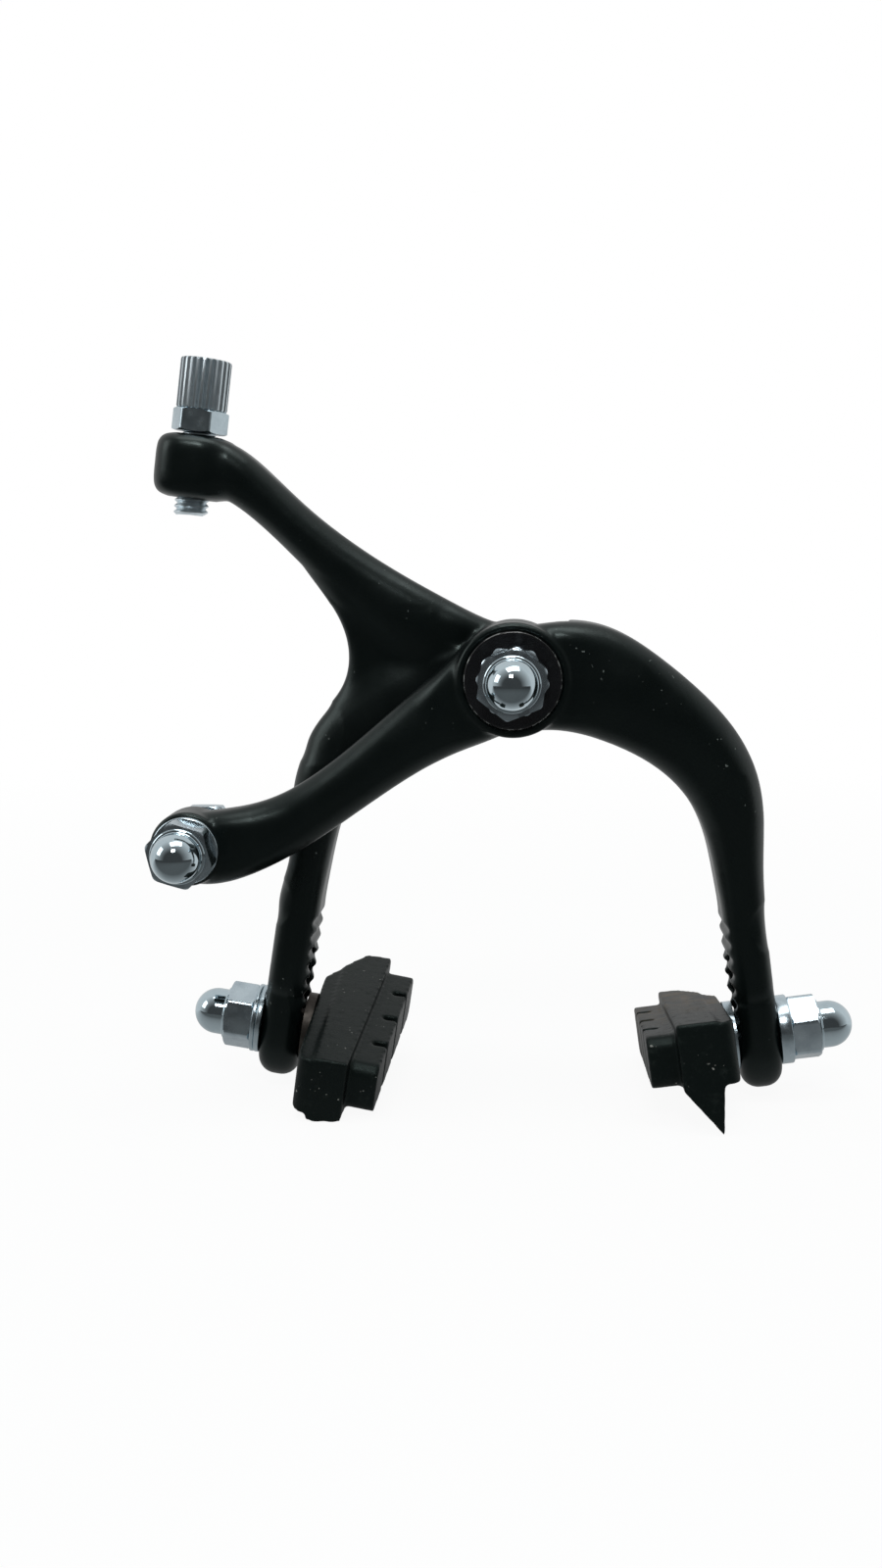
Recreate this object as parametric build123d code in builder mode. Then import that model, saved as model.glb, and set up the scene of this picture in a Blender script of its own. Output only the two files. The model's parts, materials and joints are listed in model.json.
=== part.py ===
from build123d import *
import math
import os

# Side pull caliper brake, all sizes in millimetres.
# The origin is on the pivot bolt's axis, in the plane where the brake meets the fork crown.
# +Y points back into the fork, +Z up, and +X to the right as the rider's front wheel shows it.

# Pivot bolt and the pieces stacked on it, from the fork forwards
bolt_radius = 3.0
bolt_shank_radius = 2.8
bolt_thread_front = -0.3
bolt_rear_length = 38.0
bolt_tip_chamfer = 0.6
stack_clearance = 0.2
bearing_clearance = 0.05
thread_clearance = 0.03
spacer_radius = 8.5
spacer_thickness = 4.5
spacer_hollow_wall = 2.4
lock_washer_radius = 7.0
lock_washer_thickness = 1.0
lock_washer_teeth = 12
lock_washer_tooth_depth = 0.8
lock_washer_tooth_width = 1.4
spring_boss_radius = 7.6
spring_boss_thickness = 7.5
spring_boss_flat = 12.4
friction_washer_radius = 7.5
friction_washer_thickness = 1.0
arm_boss_radius = 9.5
arm_boss_thickness = 8.0
arm_boss_fillet = 0.7
through_cut = 60.0
shallow_cut = 2.0
disc_radius = 8.05
disc_thickness = 1.0
disc_recess_depth = 0.5
disc_recess_clearance = 0.35
lock_nut_flats = 10.5
lock_nut_thickness = 3.0

# Acorn nuts
pivot_nut_flats = 10.5
pivot_nut_hex = 4.8
pivot_nut_dome = 4.1
pivot_nut_height = 10.2
anchor_nut_flats = 10.0
anchor_nut_hex = 5.0
anchor_nut_dome = 4.1
anchor_nut_height = 10.6
pad_nut_flats = 10.3
pad_nut_hex = 4.8
pad_nut_dome = 4.05
pad_nut_height = 10.9
nut_collar_height = 0.5
nut_chamfer = 0.7
nut_blind_wall = 2.4
thread_end_gap = 0.5
lock_nut_turn = 56.0
pivot_nut_turn = 22.0
anchor_nut_turn = 44.0
right_nut_turn = 4.0
left_nut_turn = 8.0

# Limbs of the two arms: softly rounded forged bars
limb_corner = 3.2
relief_clearance = 3.5
shoulder_setback = 0.6
leg_thickness = 7.3
leg_width = 13.6
leg_corner = 3.1
leg_axis_y = -15.3
leg_tail = 9.35
slot_width = 6.5
slot_travel = 11.0
groove_count = 8
groove_pitch = 2.7
groove_radius = 1.0
groove_depth = 0.75
groove_start = 1.2

# Right leg (front arm) and left leg (rear arm): where the pad posts cross them at rest
right_post_x = 42.9
right_post_z = -63.0
right_tilt = 8.1
right_leg_length = 21.0
left_post_x = -40.6
left_post_z = -62.55
left_tilt = 8.9
left_leg_length = 21.0

# Cable anchor end of the front arm
anchor_x = -54.4
anchor_z = -28.5
anchor_eye_radius = 6.3
anchor_eye_thickness = 8.2
anchor_washer_radius = 5.65
anchor_washer_thickness = 1.2
anchor_shoulder_radius = 4.6
anchor_shoulder_length = 8.0
anchor_head_flats = 9.6
anchor_head_height = 3.0
cable_hole_radius = 1.1

# Adjuster end of the rear arm
adjuster_x = -53.5
adjuster_y = -18.0
adjuster_z = 40.3
adjuster_tilt = 7.4
head_length = 13.2
head_depth = 12.4
head_height = 10.6
head_corner = 5.0
head_fillet = 2.2
head_overhang = 0.1
barrel_radius = 2.87
barrel_tip = 2.7
adjuster_nut_gap = 0.5
adjuster_nut_flats = 8.5
adjuster_nut_thickness = 3.7
knob_radius = 4.28
knob_length = 8.4
knob_flutes = 24
knob_flute_radius = 0.42
knob_chamfer = 0.4
housing_seat_radius = 2.6
housing_seat_depth = 6.0

# Return spring and its hooks on the backs of the arms
wire_radius = 0.9
wire_lift = 5.0
wire_back = 3.7
wire_bend = 6.5
wire_span = 9.5
right_wire_corners = [(22.0, 1.0), (31.0, -10.5)]
right_wire_tip = (34.6, -25.0)
left_wire_corners = [(-21.0, 1.2), (-29.2, -9.8)]
left_wire_tip = (-32.9, -24.6)
spring_slot_clearance = 0.15
hook_radius = 2.0
hook_rise = 1.5
hook_root = 3.0
hook_gap = 0.3
hook_fillet = 0.5

# Brake pads
pad_length = 42.0
pad_height = 11.0
pad_back_thickness = 2.8
pad_base_thickness = 7.0
pad_base_step = 0.35
pad_corner = 2.4
pad_taper_length = 11.0
pad_taper_depth = 6.4
block_length = 37.5
block_height = 8.8
block_thickness = 5.0
block_corner = 2.2
block_slots = 3
block_slot_pitch = 9.7
block_slot_width = 1.1
block_slot_depth = 2.6
right_pad_turn = -7.8
left_pad_turn = 11.3
right_pad_wedge = 0.4
left_pad_wedge = 2.5
right_pad_shift = -0.7
left_pad_shift = 0.2
post_radius = 2.95
post_head_radius = 4.6
post_head_thickness = 2.4
post_head_cover = 1.4
pad_washer_radius = 6.0
inner_washer_thickness = 1.5
left_outer_washer_thickness = 0.8
left_outer_plate_thickness = 1.0
right_outer_washer_thickness = 2.3
pad_seat_clearance = 0.05
sprue_length = 8.0
sprue_thickness = 0.9
sprue_lean = 1.1

# Where each piece of the stack begins, counted forwards from the fork face
y_spacer = -spacer_thickness
y_lock_washer = y_spacer - lock_washer_thickness
y_spring_boss = y_lock_washer - spring_boss_thickness
y_rear_washer = y_spring_boss - friction_washer_thickness
y_rear_arm = y_rear_washer - arm_boss_thickness
y_middle_washer = y_rear_arm - friction_washer_thickness
y_front_arm = y_middle_washer - arm_boss_thickness
y_disc_seat = y_front_arm + disc_recess_depth
y_disc = y_disc_seat - disc_thickness
y_lock_nut = y_disc - lock_nut_thickness
y_bolt_front = y_lock_nut - pivot_nut_height + nut_blind_wall + thread_end_gap
leg_front = leg_axis_y - leg_width / 2
leg_rear = leg_axis_y + leg_width / 2


def facing_front(y):
    """Plane across the pivot axis at y, seen from the front: x right, y up, normal to -Y."""
    return Plane(origin=(0, y, 0), x_dir=(1, 0, 0), z_dir=(0, -1, 0))


def bar_plane(x, z, heading, front, rear):
    """Plane across a bar that runs in the XZ plane at the given heading."""
    angle = math.radians(heading)
    run = (math.cos(angle), 0, math.sin(angle))
    side = (-math.sin(angle), 0, math.cos(angle))
    return Plane(origin=(x, (front + rear) / 2, z), x_dir=side, z_dir=run)


def bar_sections(stations):
    """Rounded sections of a forged bar, ready for a loft."""
    sections = []
    for x, z, heading, width, front, rear in stations:
        with BuildSketch(bar_plane(x, z, heading, front, rear)) as section:
            RectangleRounded(width, rear - front, limb_corner)
        sections.append(section.sketch)
    return sections


def leg_frame(post_x, post_z, tilt, hand):
    """Centre of the post, outward normal and upward direction of a leg; hand is +1 on the right."""
    angle = math.radians(tilt)
    centre = Vector(post_x, leg_axis_y, post_z)
    outward = Vector(hand * math.cos(angle), 0, math.sin(angle))
    upward = Vector(-hand * math.sin(angle), 0, math.cos(angle))
    return centre, outward, upward


right_post, right_out, right_up = leg_frame(right_post_x, right_post_z, right_tilt, 1)
left_post, left_out, left_up = leg_frame(left_post_x, left_post_z, left_tilt, -1)
wire_y = y_spring_boss + wire_back
right_top = right_post + right_up * right_leg_length
left_top = left_post + left_up * left_leg_length


def leg_plane(post, outward, upward, offset):
    """Plane on a leg at an offset outwards from its middle: x up the leg, normal outward."""
    return Plane(origin=post + outward * offset, x_dir=upward, z_dir=outward)


def build_leg(post, outward, upward, length):
    """The straight flat leg below a limb, with its rounded lower end."""
    half = leg_thickness / 2
    round_end = leg_width / 2 - leg_tail
    with BuildPart() as leg:
        with BuildSketch(leg_plane(post, outward, upward, -half)):
            with Locations(((length + round_end) / 2, 0)):
                Rectangle(length - round_end, leg_width)
            with Locations((round_end, 0)):
                Circle(leg_width / 2)
        extrude(amount=leg_thickness)
        flat_edges = leg.edges().filter_by(lambda e: abs(e.tangent_at(0.5).dot(outward)) < 0.1)
        top_position = (post + upward * length).dot(upward)
        rim = flat_edges.filter_by(lambda e: top_position - e.center().dot(upward) > 0.1)
        fillet(rim, radius=leg_corner)
    return leg.part


def leg_cuts(post, outward, upward):
    """What is taken out of a leg: the slot for the post and the grip grooves inside."""
    half = leg_thickness / 2
    with BuildPart() as cuts:
        with BuildSketch(leg_plane(post, outward, upward, -leg_thickness)):
            with Locations((slot_travel / 2, 0)):
                SlotCenterToCenter(slot_travel, slot_width)
        extrude(amount=2 * leg_thickness)
        for i in range(groove_count):
            along = groove_start + i * groove_pitch
            centre = post + upward * along - outward * (half + groove_radius - groove_depth)
            with BuildSketch(Plane(origin=(centre.X, leg_front - shallow_cut, centre.Z), z_dir=(0, 1, 0))):
                Circle(groove_radius)
            extrude(amount=leg_width + 2 * shallow_cut)
    return cuts.part


def hook_place(tip, outward, upward):
    """Centre of the hook that the wire's tip bears on from the inside."""
    reach = wire_radius + hook_gap + hook_radius
    return (tip[0] + outward.X * reach + upward.X * hook_rise,
            tip[1] + outward.Z * reach + upward.Z * hook_rise)


def build_hook(place, root_y):
    """Round hook pin that stands on the back of an arm, with a rounded end."""
    with BuildPart() as hook:
        with BuildSketch(facing_front(wire_y + hook_root)):
            with Locations(place):
                Circle(hook_radius)
        extrude(amount=wire_y + hook_root - root_y)
        fillet(hook.faces().sort_by(Axis.Y)[-1].edges(), radius=hook_fillet)
    return hook.part


def ring(plane, outer, inner, thickness):
    """Flat washer that stands on a plane."""
    with BuildPart() as washer:
        with BuildSketch(plane):
            Circle(outer)
            Circle(inner, mode=Mode.SUBTRACT)
        extrude(amount=thickness)
    return washer.part


def hexagon_block(plane, flats, height, turn=0):
    """Hexagonal prism with its corners rounded off at both ends."""
    corner = flats / math.sqrt(3)
    profile_plane = Plane(origin=plane.origin, x_dir=plane.x_dir, z_dir=-plane.y_dir)
    with BuildPart() as block:
        with BuildSketch(plane):
            RegularPolygon(flats / 2, 6, major_radius=False, rotation=turn)
        extrude(amount=height)
        with BuildSketch(profile_plane):
            with BuildLine():
                Polyline((0, 0), (corner - nut_chamfer, 0), (corner, nut_chamfer * 0.6),
                         (corner, height - nut_chamfer * 0.6), (corner - nut_chamfer, height),
                         (0, height), close=True)
            make_face()
        revolve(axis=Axis(plane.origin, plane.z_dir), mode=Mode.INTERSECT)
    return block.part


def acorn_nut(plane, flats, hex_height, height, dome, bore, turn):
    """Domed cap nut: hexagon, low collar, dome and blind threaded bore."""
    profile_plane = Plane(origin=plane.origin, x_dir=plane.x_dir, z_dir=-plane.y_dir)
    collar_top = hex_height + nut_collar_height
    with BuildPart() as nut:
        add(hexagon_block(plane, flats, hex_height, turn))
        with BuildSketch(profile_plane):
            with BuildLine():
                Polyline((0, hex_height - nut_collar_height), (dome + nut_collar_height, hex_height
                         - nut_collar_height), (dome + nut_collar_height, collar_top),
                         (dome, collar_top), (dome, height - dome))
                RadiusArc((dome, height - dome), (0, height), -dome)
                Line((0, height), (0, hex_height - nut_collar_height))
            make_face()
        revolve(axis=Axis(plane.origin, plane.z_dir))
        with BuildSketch(plane):
            Circle(bore)
        extrude(amount=height - nut_blind_wall, mode=Mode.SUBTRACT)
    return nut.part


right_hook = hook_place(right_wire_tip, right_out, right_up)
left_hook = hook_place(left_wire_tip, left_out, left_up)

# Front arm: right leg, shoulder over the pivot and the cable anchor limb at lower left
shoulder_front = y_front_arm + shoulder_setback
shoulder_rear = y_rear_arm + arm_boss_thickness + 0.4
right_heading = -90 + right_tilt
shoulder_stations = [
    (0.5, 0.3, 0, 18.5, shoulder_front, shoulder_rear),
    (11.7, 0.1, -6, 18.3, shoulder_front, shoulder_rear),
    (18.6, -2.5, -17, 17.2, shoulder_front + 0.3, shoulder_rear),
    (24.9, -6.5, -28, 15.2, shoulder_front + 1.0, shoulder_rear + 0.4),
    (30.6, -11.4, -42, 13.8, shoulder_front + 2.3, shoulder_rear + 1.2),
    (35.0, -17.4, -56, 12.5, shoulder_front + 4.0, shoulder_rear + 1.8),
    (37.6, -24.6, -67, 10.6, shoulder_front + 5.9, shoulder_rear + 2.6),
    (38.8, -32.8, -76, 8.5, leg_front - 0.8, leg_rear - 1.2),
    (right_top.X, right_top.Z, right_heading, leg_thickness, leg_front, leg_rear),
]
anchor_front = y_front_arm - 0.1
anchor_rear = y_middle_washer
anchor_stations = [
    (0.5, 0.0, 15, 18.0, shoulder_front, anchor_rear),
    (-7.3, -3.6, 29, 14.9, shoulder_front, anchor_rear),
    (-12.5, -7.0, 35, 12.6, shoulder_front, anchor_rear),
    (-17.9, -10.6, 36, 10.9, shoulder_front, anchor_rear),
    (-23.8, -15.0, 36, 9.8, shoulder_front, anchor_rear),
    (-30.0, -19.6, 33, 9.4, shoulder_front, anchor_rear),
    (-36.3, -23.7, 27, 9.8, shoulder_front, anchor_rear),
    (-42.6, -26.6, 18, 11.0, anchor_front, anchor_rear),
    (-49.0, -28.4, 9, 12.3, anchor_front, anchor_rear),
    (-54.0, -28.7, 4, 12.2, anchor_front, anchor_rear),
]

with BuildPart() as front_arm:
    loft(bar_sections(shoulder_stations))
    # The back of the shoulder is bored out round the pivot, to clear the rear arm
    with BuildSketch(facing_front(y_middle_washer)):
        Circle(arm_boss_radius + relief_clearance)
    extrude(amount=-through_cut / 2, mode=Mode.SUBTRACT)
    loft(bar_sections(anchor_stations))
    add(build_leg(right_post, right_out, right_up, right_leg_length))
    with BuildPart(mode=Mode.PRIVATE) as front_boss:
        with BuildSketch(facing_front(y_middle_washer)):
            Circle(arm_boss_radius)
        extrude(amount=arm_boss_thickness)
        fillet(front_boss.faces().sort_by(Axis.Y)[0].edges(), radius=arm_boss_fillet)
    add(front_boss.part)
    with BuildPart(mode=Mode.PRIVATE) as anchor_eye:
        with BuildSketch(facing_front(anchor_rear)):
            with Locations((anchor_x, anchor_z)):
                Circle(anchor_eye_radius)
        extrude(amount=anchor_eye_thickness)
        fillet(anchor_eye.edges().filter_by(GeomType.CIRCLE), radius=arm_boss_fillet)
    add(anchor_eye.part)
    add(leg_cuts(right_post, right_out, right_up), mode=Mode.SUBTRACT)
    # The boss is faced flat at the back; disc recess, pivot bore and anchor bolt bore
    with BuildSketch(facing_front(y_middle_washer)):
        Circle(arm_boss_radius + relief_clearance)
    extrude(amount=-arm_boss_thickness, mode=Mode.SUBTRACT)
    with BuildSketch(facing_front(y_disc_seat)):
        Circle(disc_radius + disc_recess_clearance)
    extrude(amount=disc_thickness + shallow_cut, mode=Mode.SUBTRACT)
    with BuildSketch(facing_front(0)):
        Circle(bolt_shank_radius + bearing_clearance)
        with Locations((anchor_x, anchor_z)):
            Circle(bolt_radius + stack_clearance)
    extrude(amount=through_cut, mode=Mode.SUBTRACT)
    # Hook for the return spring on the back of the shoulder
    add(build_hook(right_hook, shoulder_rear - hook_root))
front_arm.part.label = "front_arm"

# Rear arm: left leg, pivot boss, the branch up to the cable adjuster and the web between them
head_plane = Plane(
    origin=(adjuster_x, adjuster_y, adjuster_z),
    x_dir=(math.cos(math.radians(adjuster_tilt)), 0, -math.sin(math.radians(adjuster_tilt))),
    z_dir=(math.sin(math.radians(adjuster_tilt)), 0, math.cos(math.radians(adjuster_tilt))),
)
head_front = adjuster_y - head_depth / 2
head_rear = adjuster_y + head_depth / 2
branch_stations = [
    (-53.4, 35.2, -8, 9.2, head_front + 0.9, head_rear - 0.9),
    (-46.5, 33.1, -30, 8.4, head_front + 0.9, head_rear - 0.9),
    (-41.8, 29.3, -42, 7.6, head_front + 1.4, head_rear - 1.4),
    (-37.1, 25.0, -43, 7.6, y_rear_arm - 0.4, y_rear_washer + 0.6),
    (-31.1, 19.7, -40, 8.6, y_rear_arm, y_rear_washer + 0.4),
    (-23.7, 13.9, -36, 10.2, y_rear_arm, y_rear_washer),
    (-14.4, 7.2, -30, 12.8, y_rear_arm, y_rear_washer),
    (-3.0, 1.4, -23, 16.8, y_rear_arm, y_rear_washer),
]
left_heading = 270 - left_tilt
left_stations = [
    (-3.0, -0.5, 186, 16.5, y_rear_arm, y_rear_washer),
    (-12.0, -2.6, 197, 15.5, y_rear_arm, y_rear_washer),
    (-20.5, -6.3, 212, 14.4, y_rear_arm, y_rear_washer),
    (-27.8, -11.8, 225, 12.8, y_rear_arm, y_rear_washer + 0.6),
    (-32.3, -18.0, 243, 10.8, y_rear_arm, y_rear_washer + 1.6),
    (-34.35, -25.2, 257, 8.6, y_rear_arm, y_rear_washer + 3.0),
    (-35.6, -33.2, 261, 7.1, y_rear_arm, leg_rear - 1.2),
    (left_top.X, left_top.Z, left_heading, leg_thickness, leg_front, leg_rear),
]
web_edge = [(-36.3, 18.9), (-32.6, 13.8), (-29.5, 8.6), (-28.3, 3.4), (-29.3, -1.6),
            (-32.7, -6.2), (-36.4, -12.0)]
web_thickness = arm_boss_thickness - 0.8

with BuildPart() as rear_arm:
    loft(bar_sections(branch_stations))
    loft(bar_sections(left_stations))
    with BuildPart(mode=Mode.PRIVATE) as web:
        with BuildSketch(facing_front(y_rear_washer - (arm_boss_thickness - web_thickness) / 2)):
            with BuildLine():
                Spline(*web_edge)
                Polyline(web_edge[-1], (-26.0, -12.0), (-8.0, -5.0), (-8.0, 4.0), web_edge[0])
            make_face()
        extrude(amount=web_thickness)
        edge_side = web.edges().filter_by(GeomType.BSPLINE)
        fillet(edge_side, radius=limb_corner)
    add(web.part)
    add(build_leg(left_post, left_out, left_up, left_leg_length))
    with BuildPart(mode=Mode.PRIVATE) as rear_boss:
        with BuildSketch(facing_front(y_rear_washer)):
            Circle(arm_boss_radius)
        extrude(amount=arm_boss_thickness)
    add(rear_boss.part)
    with BuildPart(mode=Mode.PRIVATE) as head:
        with BuildSketch(head_plane):
            with Locations((-head_overhang, 0)):
                RectangleRounded(head_length, head_depth, head_corner)
        extrude(amount=-head_height)
        rims = head.faces().filter_by(Plane(head_plane.origin, z_dir=head_plane.z_dir))
        fillet(rims.edges(), radius=head_fillet)
    add(head.part)
    add(leg_cuts(left_post, left_out, left_up), mode=Mode.SUBTRACT)
    # The boss is faced flat on both sides, then bored
    with BuildSketch(facing_front(y_rear_washer)):
        Circle(arm_boss_radius)
    extrude(amount=-arm_boss_thickness, mode=Mode.SUBTRACT)
    with BuildSketch(facing_front(y_rear_arm)):
        Circle(arm_boss_radius + relief_clearance)
    extrude(amount=arm_boss_thickness, mode=Mode.SUBTRACT)
    with BuildSketch(facing_front(0)):
        Circle(bolt_shank_radius + bearing_clearance)
    extrude(amount=through_cut, mode=Mode.SUBTRACT)
    with BuildSketch(head_plane):
        Circle(barrel_radius + thread_clearance)
    extrude(amount=head_height + shallow_cut, both=True, mode=Mode.SUBTRACT)
    add(build_hook(left_hook, y_rear_washer - hook_root))
rear_arm.part.label = "rear_arm"

# Pivot bolt with its stack
with BuildPart() as pivot_bolt:
    with BuildSketch(facing_front(bolt_rear_length)):
        Circle(bolt_radius)
    extrude(amount=bolt_rear_length - bolt_thread_front)
    with BuildSketch(facing_front(bolt_rear_length)):
        Circle(bolt_shank_radius)
    extrude(amount=bolt_rear_length - y_bolt_front)
    bolt_ends = pivot_bolt.faces().sort_by(Axis.Y)
    chamfer(bolt_ends[0].edges() + bolt_ends[-1].edges(), length=bolt_tip_chamfer)
pivot_bolt.part.label = "pivot_bolt"

# Spacer with a hollow back that sits on the round fork crown
with BuildPart() as crown_spacer:
    add(ring(facing_front(0), spacer_radius, bolt_radius + stack_clearance, spacer_thickness))
    hollow_depth = spacer_thickness - spacer_hollow_wall
    hollow_radius = (spacer_radius**2 + hollow_depth**2) / (2 * hollow_depth)
    with BuildSketch(Plane.XY.offset(-2 * spacer_radius)):
        with Locations((0, hollow_radius - hollow_depth)):
            Circle(hollow_radius)
    extrude(amount=4 * spacer_radius, mode=Mode.SUBTRACT)
crown_spacer.part.label = "crown_spacer"

with BuildPart() as lock_washer:
    add(ring(facing_front(y_spacer), lock_washer_radius, bolt_shank_radius + stack_clearance,
             lock_washer_thickness))
    with BuildSketch(facing_front(y_spacer)):
        with PolarLocations(lock_washer_radius, lock_washer_teeth):
            Rectangle(2 * lock_washer_tooth_depth, lock_washer_tooth_width)
    extrude(amount=lock_washer_thickness, mode=Mode.SUBTRACT)
lock_washer.part.label = "lock_washer"

# Round boss with two flats; the return spring lies in the slot across its top
with BuildPart() as spring_boss:
    with BuildSketch(facing_front(y_lock_washer)):
        Circle(spring_boss_radius)
        Rectangle(spring_boss_flat, 2 * spring_boss_radius, mode=Mode.INTERSECT)
        Circle(bolt_shank_radius + thread_clearance, mode=Mode.SUBTRACT)
    extrude(amount=spring_boss_thickness)
    slot_bottom = wire_lift - wire_radius - spring_slot_clearance
    slot_half = wire_radius + spring_slot_clearance
    with BuildSketch(Plane.XY.offset(slot_bottom)):
        with Locations((0, wire_y)):
            Rectangle(2 * spring_boss_radius, 2 * slot_half)
    extrude(amount=spring_boss_radius, mode=Mode.SUBTRACT)
spring_boss.part.label = "spring_boss"

rear_washer = ring(facing_front(y_spring_boss), friction_washer_radius,
                   bolt_shank_radius + stack_clearance, friction_washer_thickness)
rear_washer.label = "rear_washer"
middle_washer = ring(facing_front(y_rear_arm), friction_washer_radius,
                     bolt_shank_radius + stack_clearance, friction_washer_thickness)
middle_washer.label = "middle_washer"
front_disc = ring(facing_front(y_disc_seat), disc_radius, bolt_shank_radius + stack_clearance,
                  disc_thickness)
front_disc.label = "front_disc"

with BuildPart() as lock_nut:
    add(hexagon_block(facing_front(y_disc), lock_nut_flats, lock_nut_thickness, lock_nut_turn))
    with BuildSketch(facing_front(y_disc)):
        Circle(bolt_shank_radius + thread_clearance)
    extrude(amount=lock_nut_thickness, mode=Mode.SUBTRACT)
lock_nut.part.label = "lock_nut"

pivot_nut = acorn_nut(facing_front(y_lock_nut), pivot_nut_flats, pivot_nut_hex, pivot_nut_height,
                      pivot_nut_dome, bolt_shank_radius + thread_clearance, pivot_nut_turn)
pivot_nut.label = "pivot_nut"

# Cable anchor: cross-drilled bolt from the back, washer and cap nut in front
y_anchor_face = anchor_rear - anchor_eye_thickness
y_anchor_nut = y_anchor_face - anchor_washer_thickness
anchor_axis = (anchor_x, anchor_z)
with BuildPart() as anchor_bolt:
    with BuildSketch(facing_front(anchor_rear)):
        with Locations(anchor_axis):
            Circle(bolt_radius)
    extrude(amount=anchor_rear - y_anchor_nut + anchor_nut_height - nut_blind_wall - thread_end_gap)
    chamfer(anchor_bolt.faces().sort_by(Axis.Y)[0].edges(), length=bolt_tip_chamfer)
    with BuildSketch(facing_front(anchor_rear + anchor_shoulder_length)):
        with Locations(anchor_axis):
            Circle(anchor_shoulder_radius)
    extrude(amount=anchor_shoulder_length)
    head_y = anchor_rear + anchor_shoulder_length + anchor_head_height
    head_seat = Plane(origin=(anchor_x, head_y, anchor_z), x_dir=(1, 0, 0), z_dir=(0, -1, 0))
    add(hexagon_block(head_seat, anchor_head_flats, anchor_head_height))
    with BuildSketch(Plane.XY.offset(anchor_z - anchor_head_flats)):
        with Locations((anchor_x, adjuster_y)):
            Circle(cable_hole_radius)
    extrude(amount=2 * anchor_head_flats, mode=Mode.SUBTRACT)
anchor_bolt.part.label = "anchor_bolt"

anchor_face = Plane(origin=(anchor_x, y_anchor_face, anchor_z), x_dir=(1, 0, 0), z_dir=(0, -1, 0))
anchor_washer = ring(anchor_face, anchor_washer_radius, bolt_radius + stack_clearance,
                     anchor_washer_thickness)
anchor_washer.label = "anchor_washer"
anchor_nut = acorn_nut(anchor_face.offset(anchor_washer_thickness), anchor_nut_flats,
                       anchor_nut_hex, anchor_nut_height, anchor_nut_dome,
                       bolt_radius + thread_clearance, anchor_nut_turn)
anchor_nut.label = "anchor_nut"

# Cable adjuster: threaded barrel with a fluted knob, and its lock nut on the arm's head
nut_seat = head_plane.offset(adjuster_nut_gap)
with BuildPart() as adjuster_nut:
    add(hexagon_block(nut_seat, adjuster_nut_flats, adjuster_nut_thickness))
    with BuildSketch(nut_seat):
        Circle(barrel_radius + thread_clearance)
    extrude(amount=adjuster_nut_thickness, mode=Mode.SUBTRACT)
adjuster_nut.part.label = "adjuster_nut"

knob_seat = nut_seat.offset(adjuster_nut_thickness)
with BuildPart() as adjuster_barrel:
    with BuildSketch(knob_seat):
        Circle(knob_radius)
    extrude(amount=knob_length)
    chamfer(adjuster_barrel.edges().filter_by(GeomType.CIRCLE), length=knob_chamfer)
    with BuildSketch(knob_seat):
        with PolarLocations(knob_radius, knob_flutes):
            Circle(knob_flute_radius)
    extrude(amount=knob_length, mode=Mode.SUBTRACT)
    barrel_length = adjuster_nut_thickness + adjuster_nut_gap + head_height + barrel_tip
    with BuildSketch(knob_seat):
        Circle(barrel_radius)
    extrude(amount=-barrel_length)
    chamfer(adjuster_barrel.faces().sort_by(Axis.Z)[0].edges(), length=bolt_tip_chamfer)
    with BuildSketch(knob_seat.offset(knob_length)):
        Circle(housing_seat_radius)
    extrude(amount=-housing_seat_depth, mode=Mode.SUBTRACT)
    with BuildSketch(knob_seat):
        Circle(cable_hole_radius)
    extrude(amount=barrel_length + knob_length, both=True, mode=Mode.SUBTRACT)
adjuster_barrel.part.label = "adjuster_barrel"

# Return spring: one bent wire held in the slot of its boss, a leg down the back of each arm
wire_points = [left_wire_tip, left_wire_corners[1], left_wire_corners[0], (-wire_span, wire_lift),
               (wire_span, wire_lift), right_wire_corners[0], right_wire_corners[1],
               right_wire_tip]
wire_plane = Plane(origin=(0, wire_y, 0), x_dir=(1, 0, 0), z_dir=(0, -1, 0))
with BuildPart() as return_spring:
    with BuildLine(wire_plane) as wire_path:
        FilletPolyline(*wire_points, radius=wire_bend)
    path_start = wire_path.line @ 0
    with BuildSketch(Plane(origin=path_start, z_dir=wire_path.line % 0)):
        Circle(wire_radius)
    sweep(path=wire_path.line)
return_spring.part.label = "return_spring"


def pad_frame(post, outward, upward, turn):
    """Plane on a pad's back at its post: x along the pad to the rear, normal to the rim."""
    angle = math.radians(turn)
    seat = post - outward * (leg_thickness / 2 + inner_washer_thickness)
    along = Vector(0, math.cos(angle), 0) + upward * math.sin(angle)
    return Plane(origin=seat, x_dir=along, z_dir=-outward)


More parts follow.
